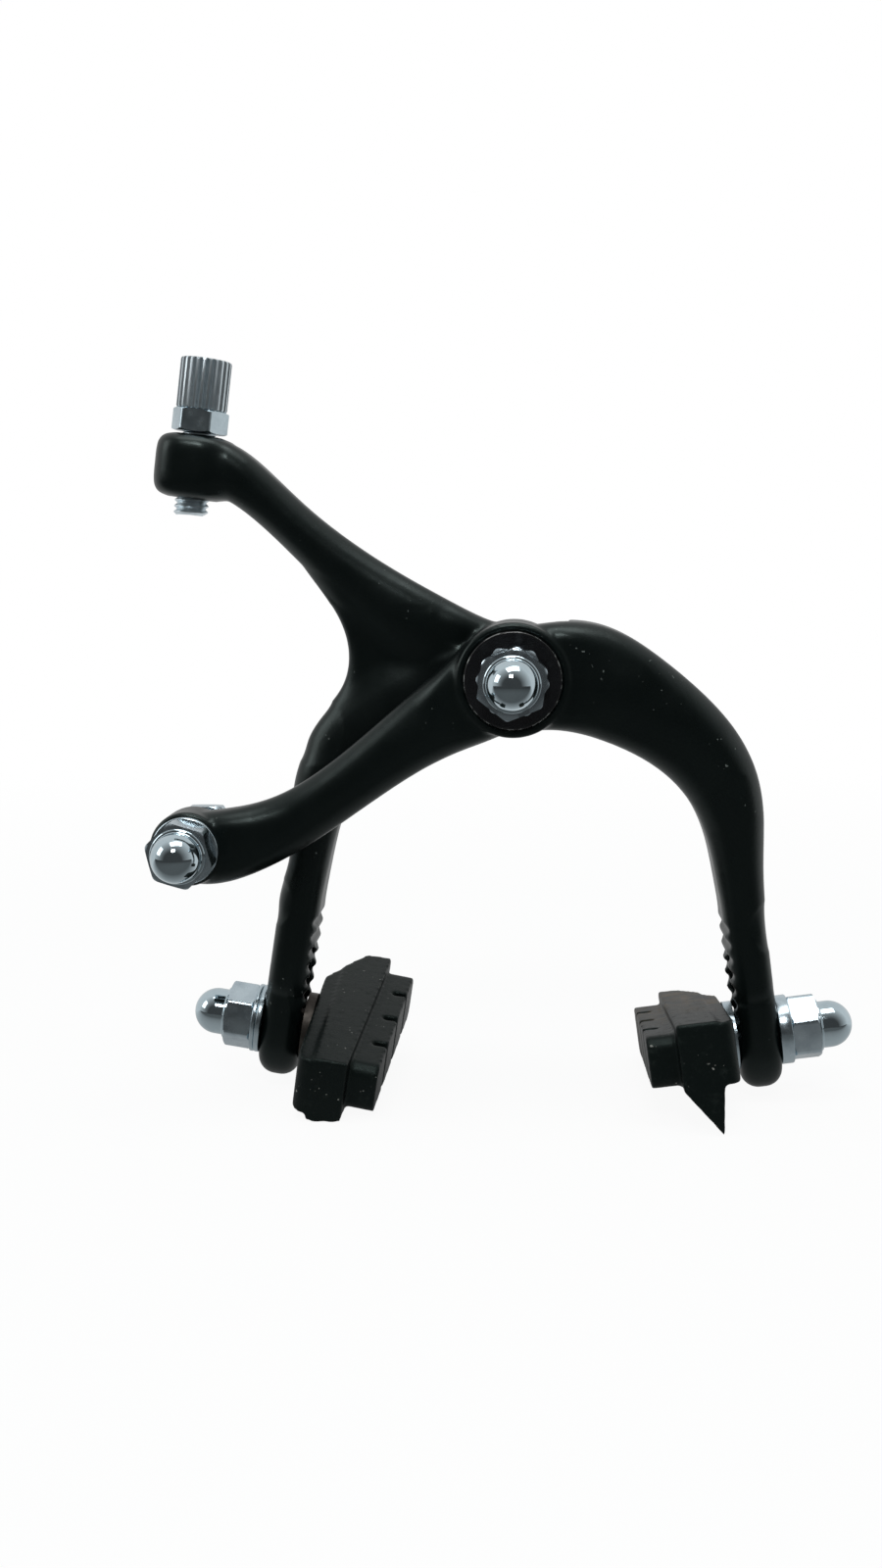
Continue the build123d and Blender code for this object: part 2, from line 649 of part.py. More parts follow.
def brake_pad(plane, shift, wedge, sprue_side):
    """Moulded rubber pad: back, wedge-shaped base, friction block with slots, pocket for the post."""
    depth = pad_back_thickness + pad_base_thickness
    half = pad_length / 2
    rubber = Plane(origin=plane.origin + plane.y_dir * shift, x_dir=plane.x_dir, z_dir=plane.z_dir)
    side_plane = Plane(origin=rubber.origin, x_dir=plane.x_dir, z_dir=-plane.y_dir)
    lean = math.atan(wedge / pad_length)
    rise = plane.x_dir * math.cos(lean) + plane.z_dir * math.sin(lean)
    out = plane.z_dir * math.cos(lean) - plane.x_dir * math.sin(lean)
    face = Plane(origin=plane.origin + plane.z_dir * depth, x_dir=rise, z_dir=out)
    with BuildPart() as pad:
        with BuildSketch(side_plane):
            with BuildLine():
                Polyline((-half, 0), (half - pad_taper_length, 0), (half, pad_taper_depth),
                         (half, depth + wedge / 2), (-half, depth - wedge / 2), close=True)
            make_face()
        extrude(amount=pad_height / 2, both=True)
        ends = pad.edges().filter_by(Axis(plane.origin, plane.y_dir))
        fillet(ends.sort_by(Axis(plane.origin, plane.z_dir))[0:3], radius=pad_corner)
        # The back is a little lower than the base in front of it
        with BuildSketch(rubber):
            Rectangle(2 * pad_length, 2 * pad_height)
            Rectangle(2 * pad_length, pad_height - 2 * pad_base_step, mode=Mode.SUBTRACT)
        extrude(amount=pad_back_thickness, mode=Mode.SUBTRACT)
        with BuildSketch(face):
            RectangleRounded(block_length, block_height, block_corner)
        extrude(amount=block_thickness)
        for i in range(block_slots):
            place = (i - (block_slots - 1) / 2) * block_slot_pitch
            with BuildSketch(face.offset(block_thickness - block_slot_depth)):
                with Locations((place, 0)):
                    Rectangle(block_slot_width, pad_height)
            extrude(amount=block_slot_depth, mode=Mode.SUBTRACT)
        if sprue_side:
            # Triangular sprue left on the front end by the mould
            fin_plane = Plane(origin=rubber.origin - plane.x_dir * half, x_dir=plane.z_dir,
                              z_dir=plane.x_dir)
            edge = sprue_side * pad_height / 2
            fin_end = depth - wedge / 2
            with BuildSketch(fin_plane):
                with BuildLine():
                    Polyline((pad_back_thickness, edge - sprue_side), (fin_end, edge - sprue_side),
                             (fin_end, edge), (pad_back_thickness + sprue_lean, edge + sprue_side
                             * sprue_length), (pad_back_thickness, edge), close=True)
                make_face()
            extrude(amount=sprue_thickness)
        pocket = post_head_cover - pad_seat_clearance
        with BuildSketch(plane.offset(pocket)):
            Circle(post_head_radius + pad_seat_clearance)
        extrude(amount=post_head_thickness + 2 * pad_seat_clearance, mode=Mode.SUBTRACT)
        with BuildSketch(plane):
            Circle(post_radius + pad_seat_clearance)
        extrude(amount=post_head_cover, mode=Mode.SUBTRACT)
    return pad.part


def pad_post(plane, outer_stack):
    """Threaded post of a pad with the round head that the rubber is moulded on."""
    thread = pad_nut_height - nut_blind_wall - thread_end_gap
    length = inner_washer_thickness + leg_thickness + outer_stack + thread
    with BuildPart() as post:
        with BuildSketch(plane.offset(post_head_cover)):
            Circle(post_head_radius)
        extrude(amount=post_head_thickness)
        with BuildSketch(plane.offset(post_head_cover)):
            Circle(post_radius)
        extrude(amount=-(length + post_head_cover))
        tip = post.faces().sort_by(Axis(plane.origin, plane.z_dir))[0]
        chamfer(tip.edges(), length=bolt_tip_chamfer)
    return post.part


def outer_plane(post, outward, upward, offset):
    """Plane on the outside of a leg at the post, with the washers and nut standing outwards."""
    return leg_plane(post, outward, upward, leg_thickness / 2 + offset)


right_pad_plane = pad_frame(right_post, right_out, right_up, right_pad_turn)
left_pad_plane = pad_frame(left_post, left_out, left_up, left_pad_turn)
left_stack = left_outer_washer_thickness + left_outer_plate_thickness

right_pad = brake_pad(right_pad_plane, right_pad_shift, right_pad_wedge, -1)
right_pad.label = "right_pad"
left_pad = brake_pad(left_pad_plane, left_pad_shift, left_pad_wedge, 0)
left_pad.label = "left_pad"
right_pad_post = pad_post(right_pad_plane, right_outer_washer_thickness)
right_pad_post.label = "right_pad_post"
left_pad_post = pad_post(left_pad_plane, left_stack)
left_pad_post.label = "left_pad_post"

post_hole = post_radius + stack_clearance
right_inner_washer = ring(right_pad_plane.offset(-inner_washer_thickness), pad_washer_radius,
                          post_hole, inner_washer_thickness)
right_inner_washer.label = "right_inner_washer"
left_inner_washer = ring(left_pad_plane.offset(-inner_washer_thickness), pad_washer_radius,
                         post_hole, inner_washer_thickness)
left_inner_washer.label = "left_inner_washer"

right_outer_washer = ring(outer_plane(right_post, right_out, right_up, 0), pad_washer_radius,
                          post_hole, right_outer_washer_thickness)
right_outer_washer.label = "right_outer_washer"
left_outer_plate = ring(outer_plane(left_post, left_out, left_up, 0), pad_washer_radius,
                        post_hole, left_outer_plate_thickness)
left_outer_plate.label = "left_outer_plate"
left_outer_washer = ring(outer_plane(left_post, left_out, left_up, left_outer_plate_thickness),
                         pad_washer_radius, post_hole, left_outer_washer_thickness)
left_outer_washer.label = "left_outer_washer"

right_nut_plane = outer_plane(right_post, right_out, right_up, right_outer_washer_thickness)
right_pad_nut = acorn_nut(right_nut_plane, pad_nut_flats, pad_nut_hex, pad_nut_height,
                          pad_nut_dome, post_radius + bearing_clearance, right_nut_turn)
right_pad_nut.label = "right_pad_nut"
left_nut_plane = outer_plane(left_post, left_out, left_up, left_stack)
left_pad_nut = acorn_nut(left_nut_plane, pad_nut_flats, pad_nut_hex, pad_nut_height, pad_nut_dome,
                         post_radius + bearing_clearance, left_nut_turn)
left_pad_nut.label = "left_pad_nut"

os.makedirs("parts", exist_ok=True)
export_step(front_arm.part, "parts/front_arm.step")
export_step(rear_arm.part, "parts/rear_arm.step")
export_step(pivot_bolt.part, "parts/pivot_bolt.step")
export_step(crown_spacer.part, "parts/crown_spacer.step")
export_step(lock_washer.part, "parts/lock_washer.step")
export_step(spring_boss.part, "parts/spring_boss.step")
export_step(rear_washer, "parts/rear_washer.step")
export_step(middle_washer, "parts/middle_washer.step")
export_step(front_disc, "parts/front_disc.step")
export_step(lock_nut.part, "parts/lock_nut.step")
export_step(pivot_nut, "parts/pivot_nut.step")
export_step(anchor_bolt.part, "parts/anchor_bolt.step")
export_step(anchor_washer, "parts/anchor_washer.step")
export_step(anchor_nut, "parts/anchor_nut.step")
export_step(adjuster_nut.part, "parts/adjuster_nut.step")
export_step(adjuster_barrel.part, "parts/adjuster_barrel.step")
export_step(return_spring.part, "parts/return_spring.step")
export_step(right_pad, "parts/right_pad.step")
export_step(left_pad, "parts/left_pad.step")
export_step(right_pad_post, "parts/right_pad_post.step")
export_step(left_pad_post, "parts/left_pad_post.step")
export_step(right_inner_washer, "parts/right_inner_washer.step")
export_step(left_inner_washer, "parts/left_inner_washer.step")
export_step(right_outer_washer, "parts/right_outer_washer.step")
export_step(left_outer_plate, "parts/left_outer_plate.step")
export_step(left_outer_washer, "parts/left_outer_washer.step")
export_step(right_pad_nut, "parts/right_pad_nut.step")
export_step(left_pad_nut, "parts/left_pad_nut.step")
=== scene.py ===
"""Side pull caliper brake: modelled pieces, finishes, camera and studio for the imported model."""
import json
import logging
import math
from dataclasses import dataclass
from enum import Enum
from typing import Callable

import bpy
from mathutils import Matrix, Vector


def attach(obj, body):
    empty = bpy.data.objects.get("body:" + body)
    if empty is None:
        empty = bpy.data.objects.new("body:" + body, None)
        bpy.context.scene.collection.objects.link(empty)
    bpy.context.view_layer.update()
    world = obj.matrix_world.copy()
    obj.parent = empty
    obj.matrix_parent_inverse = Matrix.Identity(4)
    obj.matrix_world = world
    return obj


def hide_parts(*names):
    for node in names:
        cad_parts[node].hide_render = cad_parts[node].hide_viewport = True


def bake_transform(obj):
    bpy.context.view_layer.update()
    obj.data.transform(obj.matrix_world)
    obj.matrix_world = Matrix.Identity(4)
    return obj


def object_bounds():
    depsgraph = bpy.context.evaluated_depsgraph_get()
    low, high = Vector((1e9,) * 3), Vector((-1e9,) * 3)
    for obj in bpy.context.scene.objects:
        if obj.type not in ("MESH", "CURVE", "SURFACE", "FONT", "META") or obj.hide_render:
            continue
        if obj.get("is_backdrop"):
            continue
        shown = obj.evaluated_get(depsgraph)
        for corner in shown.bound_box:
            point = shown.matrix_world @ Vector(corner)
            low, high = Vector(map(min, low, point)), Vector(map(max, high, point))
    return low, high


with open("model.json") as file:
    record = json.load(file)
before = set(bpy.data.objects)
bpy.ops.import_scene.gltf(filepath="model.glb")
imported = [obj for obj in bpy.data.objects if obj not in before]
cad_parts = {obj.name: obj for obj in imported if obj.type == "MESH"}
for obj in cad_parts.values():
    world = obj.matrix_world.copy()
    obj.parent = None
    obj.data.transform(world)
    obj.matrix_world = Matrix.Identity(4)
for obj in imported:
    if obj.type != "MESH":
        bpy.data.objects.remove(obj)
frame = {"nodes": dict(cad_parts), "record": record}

log = logging.getLogger("brake")
MM = 0.001
# How far one round of smoothing moves a point towards its neighbours.
SMOOTHING = 0.5
Point = tuple[float, float]
Triple = tuple[float, float, float]
Piece = bpy.types.Object
Material = bpy.types.Material
Socket = bpy.types.NodeSocket

# Finishes that a piece brings itself, and keeps.
OWN: set[str] = {"mirror_zinc", "rough_zinc"}
# Nodes in the shade between the left pad and its leg, which get a near-black steel as painted shade.
SHADED_NODES: set[str] = {"left_inner_washer", "left_pad_post"}


class Finish(Enum):
    """The record's material slots, which name the brake's finishes."""

    PAINT = "black_paint"
    DISC = "black_disc"
    ZINC = "zinc_plate"
    BOLT = "bolt_steel"
    SPRING = "spring_wire"
    BRASS = "brass"
    RUBBER = "rubber"


class NodeTree:
    """A node tree, with the steps that materials, floor and world share."""

    def __init__(self, tree: bpy.types.NodeTree) -> None:
        """Empties the tree.

        Args:
            tree: The tree to fill.
        """
        self.tree = tree
        tree.nodes.clear()

    def add(self, kind: str, **inputs: object) -> bpy.types.Node:
        """Adds a node.

        Args:
            kind: The node's type, without its prefix ShaderNode.
            inputs: Constants for its inputs, with _ for spaces in a socket's name.

        Returns:
            The node.
        """
        node = self.tree.nodes.new("ShaderNode" + kind)
        self.fill(node, inputs)
        return node

    @staticmethod
    def fill(node: bpy.types.Node, values: dict[str, object]) -> None:
        """Sets constants on a node's inputs, with _ for spaces in a socket's name."""
        for key, value in values.items():
            node.inputs[key.replace("_", " ")].default_value = value

    def join(self, source: Socket, target: Socket) -> None:
        """Links one socket to another."""
        self.tree.links.new(source, target)

    def remap(self, source: Socket, old: Point, new: Point) -> Socket:
        """Maps a value from one range to another, and clips it.

        Args:
            source: The value to map.
            old: The range it comes from.
            new: The range of the result.

        Returns:
            The mapped value.
        """
        node = self.add("MapRange", From_Min=old[0], From_Max=old[1], To_Min=new[0], To_Max=new[1])
        self.join(source, node.inputs["Value"])
        return node.outputs["Result"]

    def reckon(self, way: str, first: Socket, second: Socket) -> Socket:
        """Returns two values multiplied, or the greater of them, as the way says."""
        node = self.add("Math")
        node.operation = way
        self.join(first, node.inputs[0])
        self.join(second, node.inputs[1])
        return node.outputs[0]

    def seen_rays(self) -> Socket:
        """Returns 1 for rays from the camera, from gloss and through glass."""
        rays = self.add("LightPath").outputs
        glossy = self.reckon("MAXIMUM", rays["Is Camera Ray"], rays["Is Glossy Ray"])
        return self.reckon("MAXIMUM", glossy, rays["Is Transmission Ray"])

    def vector(self, way: str, source: Socket, value: Triple | None = None) -> bpy.types.Node:
        """Adds one step of vector maths on a socket and, where the step takes one, a constant."""
        node = self.add("VectorMath")
        node.operation = way
        self.join(source, node.inputs[0])
        if value is not None:
            node.inputs[1].default_value = value
        return node

    def dim_front(self, place: Socket, depths: Point, shares: Point) -> Socket:
        """Returns the strength of a white light that is dimmer in front, but not for the camera.

        Args:
            place: Coordinates, of which Y counts.
            depths: Where the dimming ends in front, and where it starts at the back.
            shares: The strength at those two depths.

        Returns:
            The strength.
        """
        parts = self.add("SeparateXYZ")
        self.join(place, parts.inputs[0])
        strength = self.remap(parts.outputs["Y"], depths, shares)
        return self.reckon("MAXIMUM", strength, self.add("LightPath").outputs["Is Camera Ray"])

    def show(self, share: Socket, first: bpy.types.Node, second: bpy.types.Node, output: str) -> None:
        """Mixes two shader nodes by a share, and links them to a new output node."""
        mix = self.add("MixShader")
        self.join(share, mix.inputs["Fac"])
        self.join(first.outputs[0], mix.inputs[1])
        self.join(second.outputs[0], mix.inputs[2])
        self.join(mix.outputs[0], self.add(output).inputs["Surface"])


class Shader(NodeTree):
    """A material that is built node by node around one Principled shader."""

    def __init__(self, name: str) -> None:
        """Starts an empty material.

        Args:
            name: The material's name.
        """
        self.material = bpy.data.materials.new(name)
        self.material.use_nodes = True
        super().__init__(self.material.node_tree)
        self.surface = self.add("BsdfPrincipled")
        self.join(self.surface.outputs["BSDF"], self.add("OutputMaterial").inputs["Surface"])
        self.place = self.add("TexCoord").outputs["Object"]

    def stretched(self, scale: Triple) -> Socket:
        """Returns the object's own space, scaled along its axes for drawn-out patterns."""
        node = self.add("Mapping", Scale=scale)
        self.join(self.place, node.inputs["Vector"])
        return node.outputs["Vector"]

    def noise(self, size: float, detail: float = 3.0, roughness: float = 0.5,
              space: Socket | None = None) -> Socket:
        """Adds a noise pattern in the object's own space.

        Args:
            size: Width of one feature in millimetres.
            detail: Number of octaves.
            roughness: Weight of the finer octaves.
            space: Another space than the object's own.

        Returns:
            The pattern's value socket, from 0 to 1.
        """
        node = self.add("TexNoise", Scale=1 / (size * MM), Detail=detail, Roughness=roughness)
        self.join(space or self.place, node.inputs["Vector"])
        return node.outputs["Fac"]

    def ramp(self, source: Socket, low: float, high: float) -> Socket:
        """Stretches the range low to high of a value to 0 to 1."""
        return self.remap(source, (low, high), (0.0, 1.0))

    def spread(self, source: Socket, low: float, high: float) -> Socket:
        """Maps a value from 0 to 1 onto the range low to high."""
        return self.remap(source, (0.0, 1.0), (low, high))

    def product(self, first: Socket, second: Socket) -> Socket:
        """Multiplies two values."""
        return self.reckon("MULTIPLY", first, second)

    def distance(self, centre: Triple, keep: Triple = (1, 1, 1)) -> Socket:
        """Measures the distance from a point in metres.

        Args:
            centre: The point, in metres.
            keep: 1 for an axis that counts and 0 for one that doesn't.

        Returns:
            The distance's value socket.
        """
        shift = self.vector("SUBTRACT", self.place, centre)
        flat = self.vector("MULTIPLY", shift.outputs[0], keep)
        return self.vector("LENGTH", flat.outputs[0]).outputs["Value"]

    def mix(self, share: Socket, first: object, second: object) -> Socket:
        """Mixes two colours.

        Args:
            share: How much of the second colour shows.
            first: A colour or a colour socket.
            second: A colour or a colour socket.

        Returns:
            The mixed colour.
        """
        node = self.add("Mix")
        node.data_type = "RGBA"
        self.join(share, node.inputs["Factor"])
        for key, value in (("A", first), ("B", second)):
            socket = [s for s in node.inputs if s.name == key and s.type == "RGBA"][0]
            if isinstance(value, Socket):
                self.join(value, socket)
            else:
                socket.default_value = (*value, 1.0)
        return [s for s in node.outputs if s.type == "RGBA"][0]

    def bump(self, height: Socket, depth: float, strength: float = 1.0) -> None:
        """Adds relief under what is there already.

        Args:
            height: The relief's height, from 0 to 1.
            depth: Height of the relief in millimetres.
            strength: Share of the relief that shows.
        """
        node = self.add("Bump", Distance=depth * MM, Strength=strength)
        self.join(height, node.inputs["Height"])
        target = self.surface.inputs["Normal"]
        if target.links:
            self.join(target.links[0].from_socket, node.inputs["Normal"])
        self.join(node.outputs["Normal"], target)

    def set(self, **values: object) -> None:
        """Sets constants on the Principled shader, with _ for spaces in a socket's name."""
        self.fill(self.surface, values)

    def feed(self, source: Socket, name: str) -> None:
        """Links a value or colour into a socket of the Principled shader."""
        self.join(source, self.surface.inputs[name])


@dataclass(frozen=True)
class SatinPaint:
    """Black powder paint of the arms, with orange peel, rubbed patches and a few pale specks."""

    dark: Triple = (0.0006, 0.0016, 0.0016)
    light: Triple = (0.0020, 0.0038, 0.0037)
    speck: Triple = (0.10, 0.11, 0.105)
    sheen: Triple = (0.82, 1.0, 0.97)

    def build(self) -> Material:
        """Returns the paint's material."""
        s = Shader("satin_black_paint")
        colour = s.mix(s.noise(9.0), self.dark, self.light)
        specks = s.product(s.ramp(s.noise(0.5, 0.0), 0.80, 0.83), s.ramp(s.noise(11.0, 1.0), 0.61, 0.65))
        colour = s.mix(specks, colour, self.speck)
        s.feed(colour, "Base Color")
        s.feed(s.spread(s.ramp(s.noise(5.0, 4.0), 0.3, 0.7), 0.27, 0.35), "Roughness")
        s.bump(s.noise(0.5, 2.0), 0.02, 0.5)
        s.bump(s.noise(3.0, 2.0), 0.10, 0.35)
        s.set(IOR=1.47, Specular_Tint=(*self.sheen, 1.0))
        return s.material


@dataclass(frozen=True)
class Metal:
    """Plated or plain metal with fine scratches and a clouded sheen."""

    name: str
    base: Triple
    stain: Triple
    smooth: float
    rough: float
    grain: float = 0.4

    def build(self) -> Material:
        """Returns the metal's material."""
        s = Shader(self.name)
        cloud = s.ramp(s.noise(3.5, 4.0, 0.6), 0.4, 0.75)
        s.feed(s.mix(cloud, self.base, self.stain), "Base Color")
        s.feed(s.spread(s.ramp(s.noise(1.4, 3.0), 0.35, 0.7), self.smooth, self.rough), "Roughness")
        s.bump(s.noise(0.5, 3.0), 0.012, self.grain)
        s.bump(s.noise(2.6, 1.0), 0.05, self.grain)
        scratch = s.ramp(s.noise(1.6, 1.0, space=s.stretched((1.0, 7.0, 0.8))), 0.66, 0.7)
        s.bump(scratch, 0.01, self.grain * 0.6)
        s.set(Metallic=1.0)
        return s.material


@dataclass(frozen=True)
class Rubber:
    """Matt black rubber of the pads with dust in its pores and lighter brown patches round one spot on the
    right pad's top face.
    """

    base: Triple = (0.0028, 0.0046, 0.0044)
    dust: Triple = (0.014, 0.017, 0.0155)
    brown_patch: Triple = (0.085, 0.055, 0.026)
    crumb: Triple = (0.2, 0.195, 0.18)
    sheen: Triple = (0.78, 1.0, 0.95)
    brown_patch_spot: Triple = (0.0335, -0.006, -0.0575)
    brown_patch_reach: float = 19.0

    def build(self) -> Material:
        """Returns the rubber's material."""
        s = Shader("pad_rubber")
        dust = s.ramp(s.noise(1.5, 6.0, 0.7), 0.55, 0.9)
        # Lighter brown patches that fade out with distance from one spot on the right pad's top face.
        near = s.ramp(s.distance(self.brown_patch_spot), self.brown_patch_reach * MM, self.brown_patch_reach * 0.3 * MM)
        brown_patch = s.product(near, s.ramp(s.noise(3.0, 5.0, 0.65), 0.42, 0.62))
        crumbs = s.product(s.ramp(s.noise(0.5, 0.0), 0.77, 0.80), s.ramp(s.noise(5.0, 1.0), 0.56, 0.62))
        colour = s.mix(brown_patch, s.mix(dust, self.base, self.dust), self.brown_patch)
        s.feed(s.mix(crumbs, colour, self.crumb), "Base Color")
        s.feed(s.spread(dust, 0.42, 0.8), "Roughness")
        s.bump(s.noise(0.35, 4.0), 0.05, 0.6)
        s.bump(s.noise(2.5, 2.0), 0.15, 0.4)
        s.set(IOR=1.32, Specular_Tint=(*self.sheen, 1.0))
        return s.material


@dataclass(frozen=True)
class GlossBlack:
    """Gloss black of the front disc, worn to bright metal along its rim."""

    base: Triple = (0.004, 0.004, 0.0045)
    cloud: Triple = (0.009, 0.009, 0.01)
    worn: Triple = (0.42, 0.43, 0.42)
    rim: float = 7.86
    fade: float = 0.12

    def build(self) -> Material:
        """Returns the disc's material."""
        s = Shader("gloss_black")
        reach = s.distance((0, 0, 0), (1, 0, 1))
        edge = s.ramp(reach, self.rim * MM, (self.rim + self.fade) * MM)
        worn = s.product(edge, s.ramp(s.noise(1.6, 4.0, 0.7), 0.52, 0.66))
        s.feed(s.mix(worn, s.mix(s.noise(3.0), self.base, self.cloud), self.worn), "Base Color")
        s.feed(worn, "Metallic")
        s.feed(s.spread(s.noise(1.2), 0.1, 0.22), "Roughness")
        s.bump(s.noise(0.5), 0.006, 0.4)
        s.set(IOR=1.5)
        return s.material


class Bench:
    """The steps that the pieces share: selecting, spinning, cutting, placing and handing in."""

    @staticmethod
    def clear() -> None:
        """Leaves edit mode and deselects everything."""
        if bpy.context.mode != "OBJECT":
            bpy.ops.object.mode_set(mode="OBJECT")
        bpy.ops.object.select_all(action="DESELECT")

    @staticmethod
    def pick(piece: Piece) -> None:
        """Makes one object the only selected and the active one."""
        Bench.clear()
        piece.select_set(True)
        bpy.context.view_layer.objects.active = piece

    @staticmethod
    def edit(piece: Piece, kind: str, test: Callable[[object], bool]) -> None:
        """Enters edit mode with some points or edges selected.

        Args:
            piece: The piece to edit.
            kind: VERT or EDGE.
            test: Says of a point or edge of the mesh whether it is selected.
        """
        Bench.pick(piece)
        bpy.ops.object.mode_set(mode="EDIT")
        bpy.ops.mesh.select_mode(type=kind)
        bpy.ops.mesh.select_all(action="DESELECT")
        bpy.ops.object.mode_set(mode="OBJECT")
        for part in piece.data.vertices if kind == "VERT" else piece.data.edges:
            part.select = test(part)
        bpy.ops.object.mode_set(mode="EDIT")

    @staticmethod
    def trace(name: str, profile: list[Point], closed: bool) -> Piece:
        """Draws a profile in the XZ plane by extruding one point, and stays in edit mode.

        Args:
            name: The new object's name.
            profile: Radius and height of each point in millimetres.
            closed: Whether the last point runs back to the first.

        Returns:
            The new object.
        """
        Bench.clear()
        bpy.ops.mesh.primitive_plane_add(size=MM)
        piece = bpy.context.object
        piece.name = name
        bpy.ops.object.mode_set(mode="EDIT")
        bpy.ops.mesh.select_mode(type="VERT")
        bpy.ops.mesh.select_all(action="SELECT")
        bpy.ops.mesh.merge(type="CENTER")
        bpy.ops.transform.translate(value=(profile[0][0] * MM, 0, profile[0][1] * MM))
        run = profile[1:] + (profile[:1] if closed else [])
        for start, stop in zip(profile, run):
            step = ((stop[0] - start[0]) * MM, 0, (stop[1] - start[1]) * MM)
            bpy.ops.mesh.extrude_region_move(TRANSFORM_OT_translate={"value": step})
        bpy.ops.mesh.select_all(action="SELECT")
        bpy.ops.mesh.remove_doubles(threshold=1e-7)
        return piece

    @staticmethod
    def lathe(name: str, profile: list[Point], closed: bool = True, steps: int = 72) -> Piece:
        """Spins a profile once round the Z axis.

        Args:
            name: The new object's name.
            profile: Radius and height of each point in millimetres.
            closed: Whether the profile is a closed ring.
            steps: Number of steps in the turn.

        Returns:
            The turned object, with its faces pointing outwards.
        """
        piece = Bench.trace(name, profile, closed)
        bpy.ops.mesh.spin(steps=steps, angle=2 * math.pi, center=(0, 0, 0), axis=(0, 0, 1))
        Bench.settle(piece)
        return piece

    @staticmethod
    def settle(piece: Piece) -> None:
        """Merges doubles and turns the faces outwards."""
        Bench.pick(piece)
        bpy.ops.object.mode_set(mode="EDIT")
        bpy.ops.mesh.select_all(action="SELECT")
        bpy.ops.mesh.remove_doubles(threshold=2e-6)
        bpy.ops.mesh.normals_make_consistent(inside=False)
        bpy.ops.object.mode_set(mode="OBJECT")

    @staticmethod
    def modify(piece: Piece, kind: str, **values: object) -> None:
        """Adds a modifier of a kind to a piece, sets its values, and applies it."""
        Bench.pick(piece)
        modifier = piece.modifiers.new(kind.lower(), kind)
        for key, value in values.items():
            setattr(modifier, key, value)
        bpy.ops.object.modifier_apply(modifier=modifier.name)

    @staticmethod
    def combine(piece: Piece, tool: Piece, way: str) -> None:
        """Joins, cuts or crosses a piece with a tool, which is then removed.

        Args:
            piece: The piece to change.
            tool: The closed shape to change it with.
            way: UNION, DIFFERENCE or INTERSECT.
        """
        Bench.modify(piece, "BOOLEAN", operation=way, solver="EXACT", object=tool)
        bpy.data.objects.remove(tool, do_unlink=True)

    @staticmethod
    def join(piece: Piece, other: Piece) -> None:
        """Makes the other piece part of the first one's mesh."""
        Bench.pick(piece)
        other.select_set(True)
        bpy.ops.object.join()

    @staticmethod
    def soften(piece: Piece, voxel: float, rounds: int) -> None:
        """Blends a piece's joints as forging and paint do: a fine even mesh, then smoothing.

        Args:
            piece: The piece to soften.
            voxel: The even mesh's size in millimetres.
            rounds: Number of smoothing rounds.
        """
        Bench.modify(piece, "REMESH", mode="VOXEL", voxel_size=voxel * MM)
        Bench.modify(piece, "SMOOTH", factor=SMOOTHING, iterations=rounds)

    @staticmethod
    def copy_node(name: str, node: str) -> Piece:
        """Returns a merged copy of a CAD node as a piece of its own."""
        source = frame["nodes"][node]
        piece = bpy.data.objects.new(name, source.data.copy())
        bpy.context.scene.collection.objects.link(piece)
        Bench.settle(piece)
        return piece

    @staticmethod
    def place(piece: Piece, seat: "Seat") -> None:
        """Moves a piece, made round the Z axis at the origin, to its seat, and applies that to its mesh."""
        side = seat.along.cross(seat.across)
        turn = Matrix((seat.across, side, seat.along)).transposed().to_4x4()
        piece.matrix_world = Matrix.Translation(seat.origin * MM) @ turn
        Bench.pick(piece)
        bpy.ops.object.transform_apply()

    @staticmethod
    def hand_in(piece: Piece, body: str | None, slot: Finish, finish: Material,
                node: str | None = None, angle: float = 35.0) -> None:
        """Shades and dresses a piece, gives it its body, and hides the node that it stands for.

        Args:
            piece: The finished piece.
            slot: The record's slot of its finish; not used.
            finish: Its material.
            node: The CAD node that it stands for.
            angle: Edges sharper than this many degrees stay sharp.
        """
        Bench.pick(piece)
        bpy.ops.object.shade_smooth_by_angle(angle=math.radians(angle))
        if not piece.data.materials:
            piece.data.materials.append(finish)
        elif piece.data.materials[0] is None or piece.data.materials[0].name not in OWN:
            piece.data.materials.clear()
            piece.data.materials.append(finish)
        if node:
            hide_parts(node)
        if body:
            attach(piece, body)
        log.info("%s: %d faces", piece.name, len(piece.data.polygons))


def round_corner(radius: float, height: float, corner: float, top: bool) -> list[Point]:
    """Returns the points of a rounded outer corner of a turned profile.

    Args:
        radius: Outer radius in millimetres.
        height: Height of the corner.
        corner: Its rounding.
        top: Whether it is the upper corner, run from outside to inside.

    Returns:
        Four points along the corner.
    """
    points = []
    for step in range(4):
        turn = math.radians(30 * step)
        if top:
            points.append((radius - corner * (1 - math.cos(turn)), height - corner * (1 - math.sin(turn))))
        else:
            points.append((radius - corner * (1 - math.sin(turn)), height + corner * (1 - math.cos(turn))))
    return points


@dataclass
class Seat:
    """A place on the brake: a base point in millimetres with a direction across and one along."""

    origin: Vector
    across: Vector
    along: Vector

    def raised(self, height: float) -> "Seat":
        """Returns the same seat moved along its axis by a height in millimetres."""
        return Seat(self.origin + self.along * height, self.across, self.along)


def front_seat(y: float, x: float = 0.0, z: float = 0.0) -> Seat:
    """Returns a seat that faces the front at y, about the axis through x and z."""
    return Seat(Vector((x, y, z)), Vector((1, 0, 0)), Vector((0, -1, 0)))


def rear_seat(y: float) -> Seat:
    """Returns a seat on the pivot's axis that faces the rear at y."""
    return Seat(Vector((0, y, 0)), Vector((1, 0, 0)), Vector((0, 1, 0)))


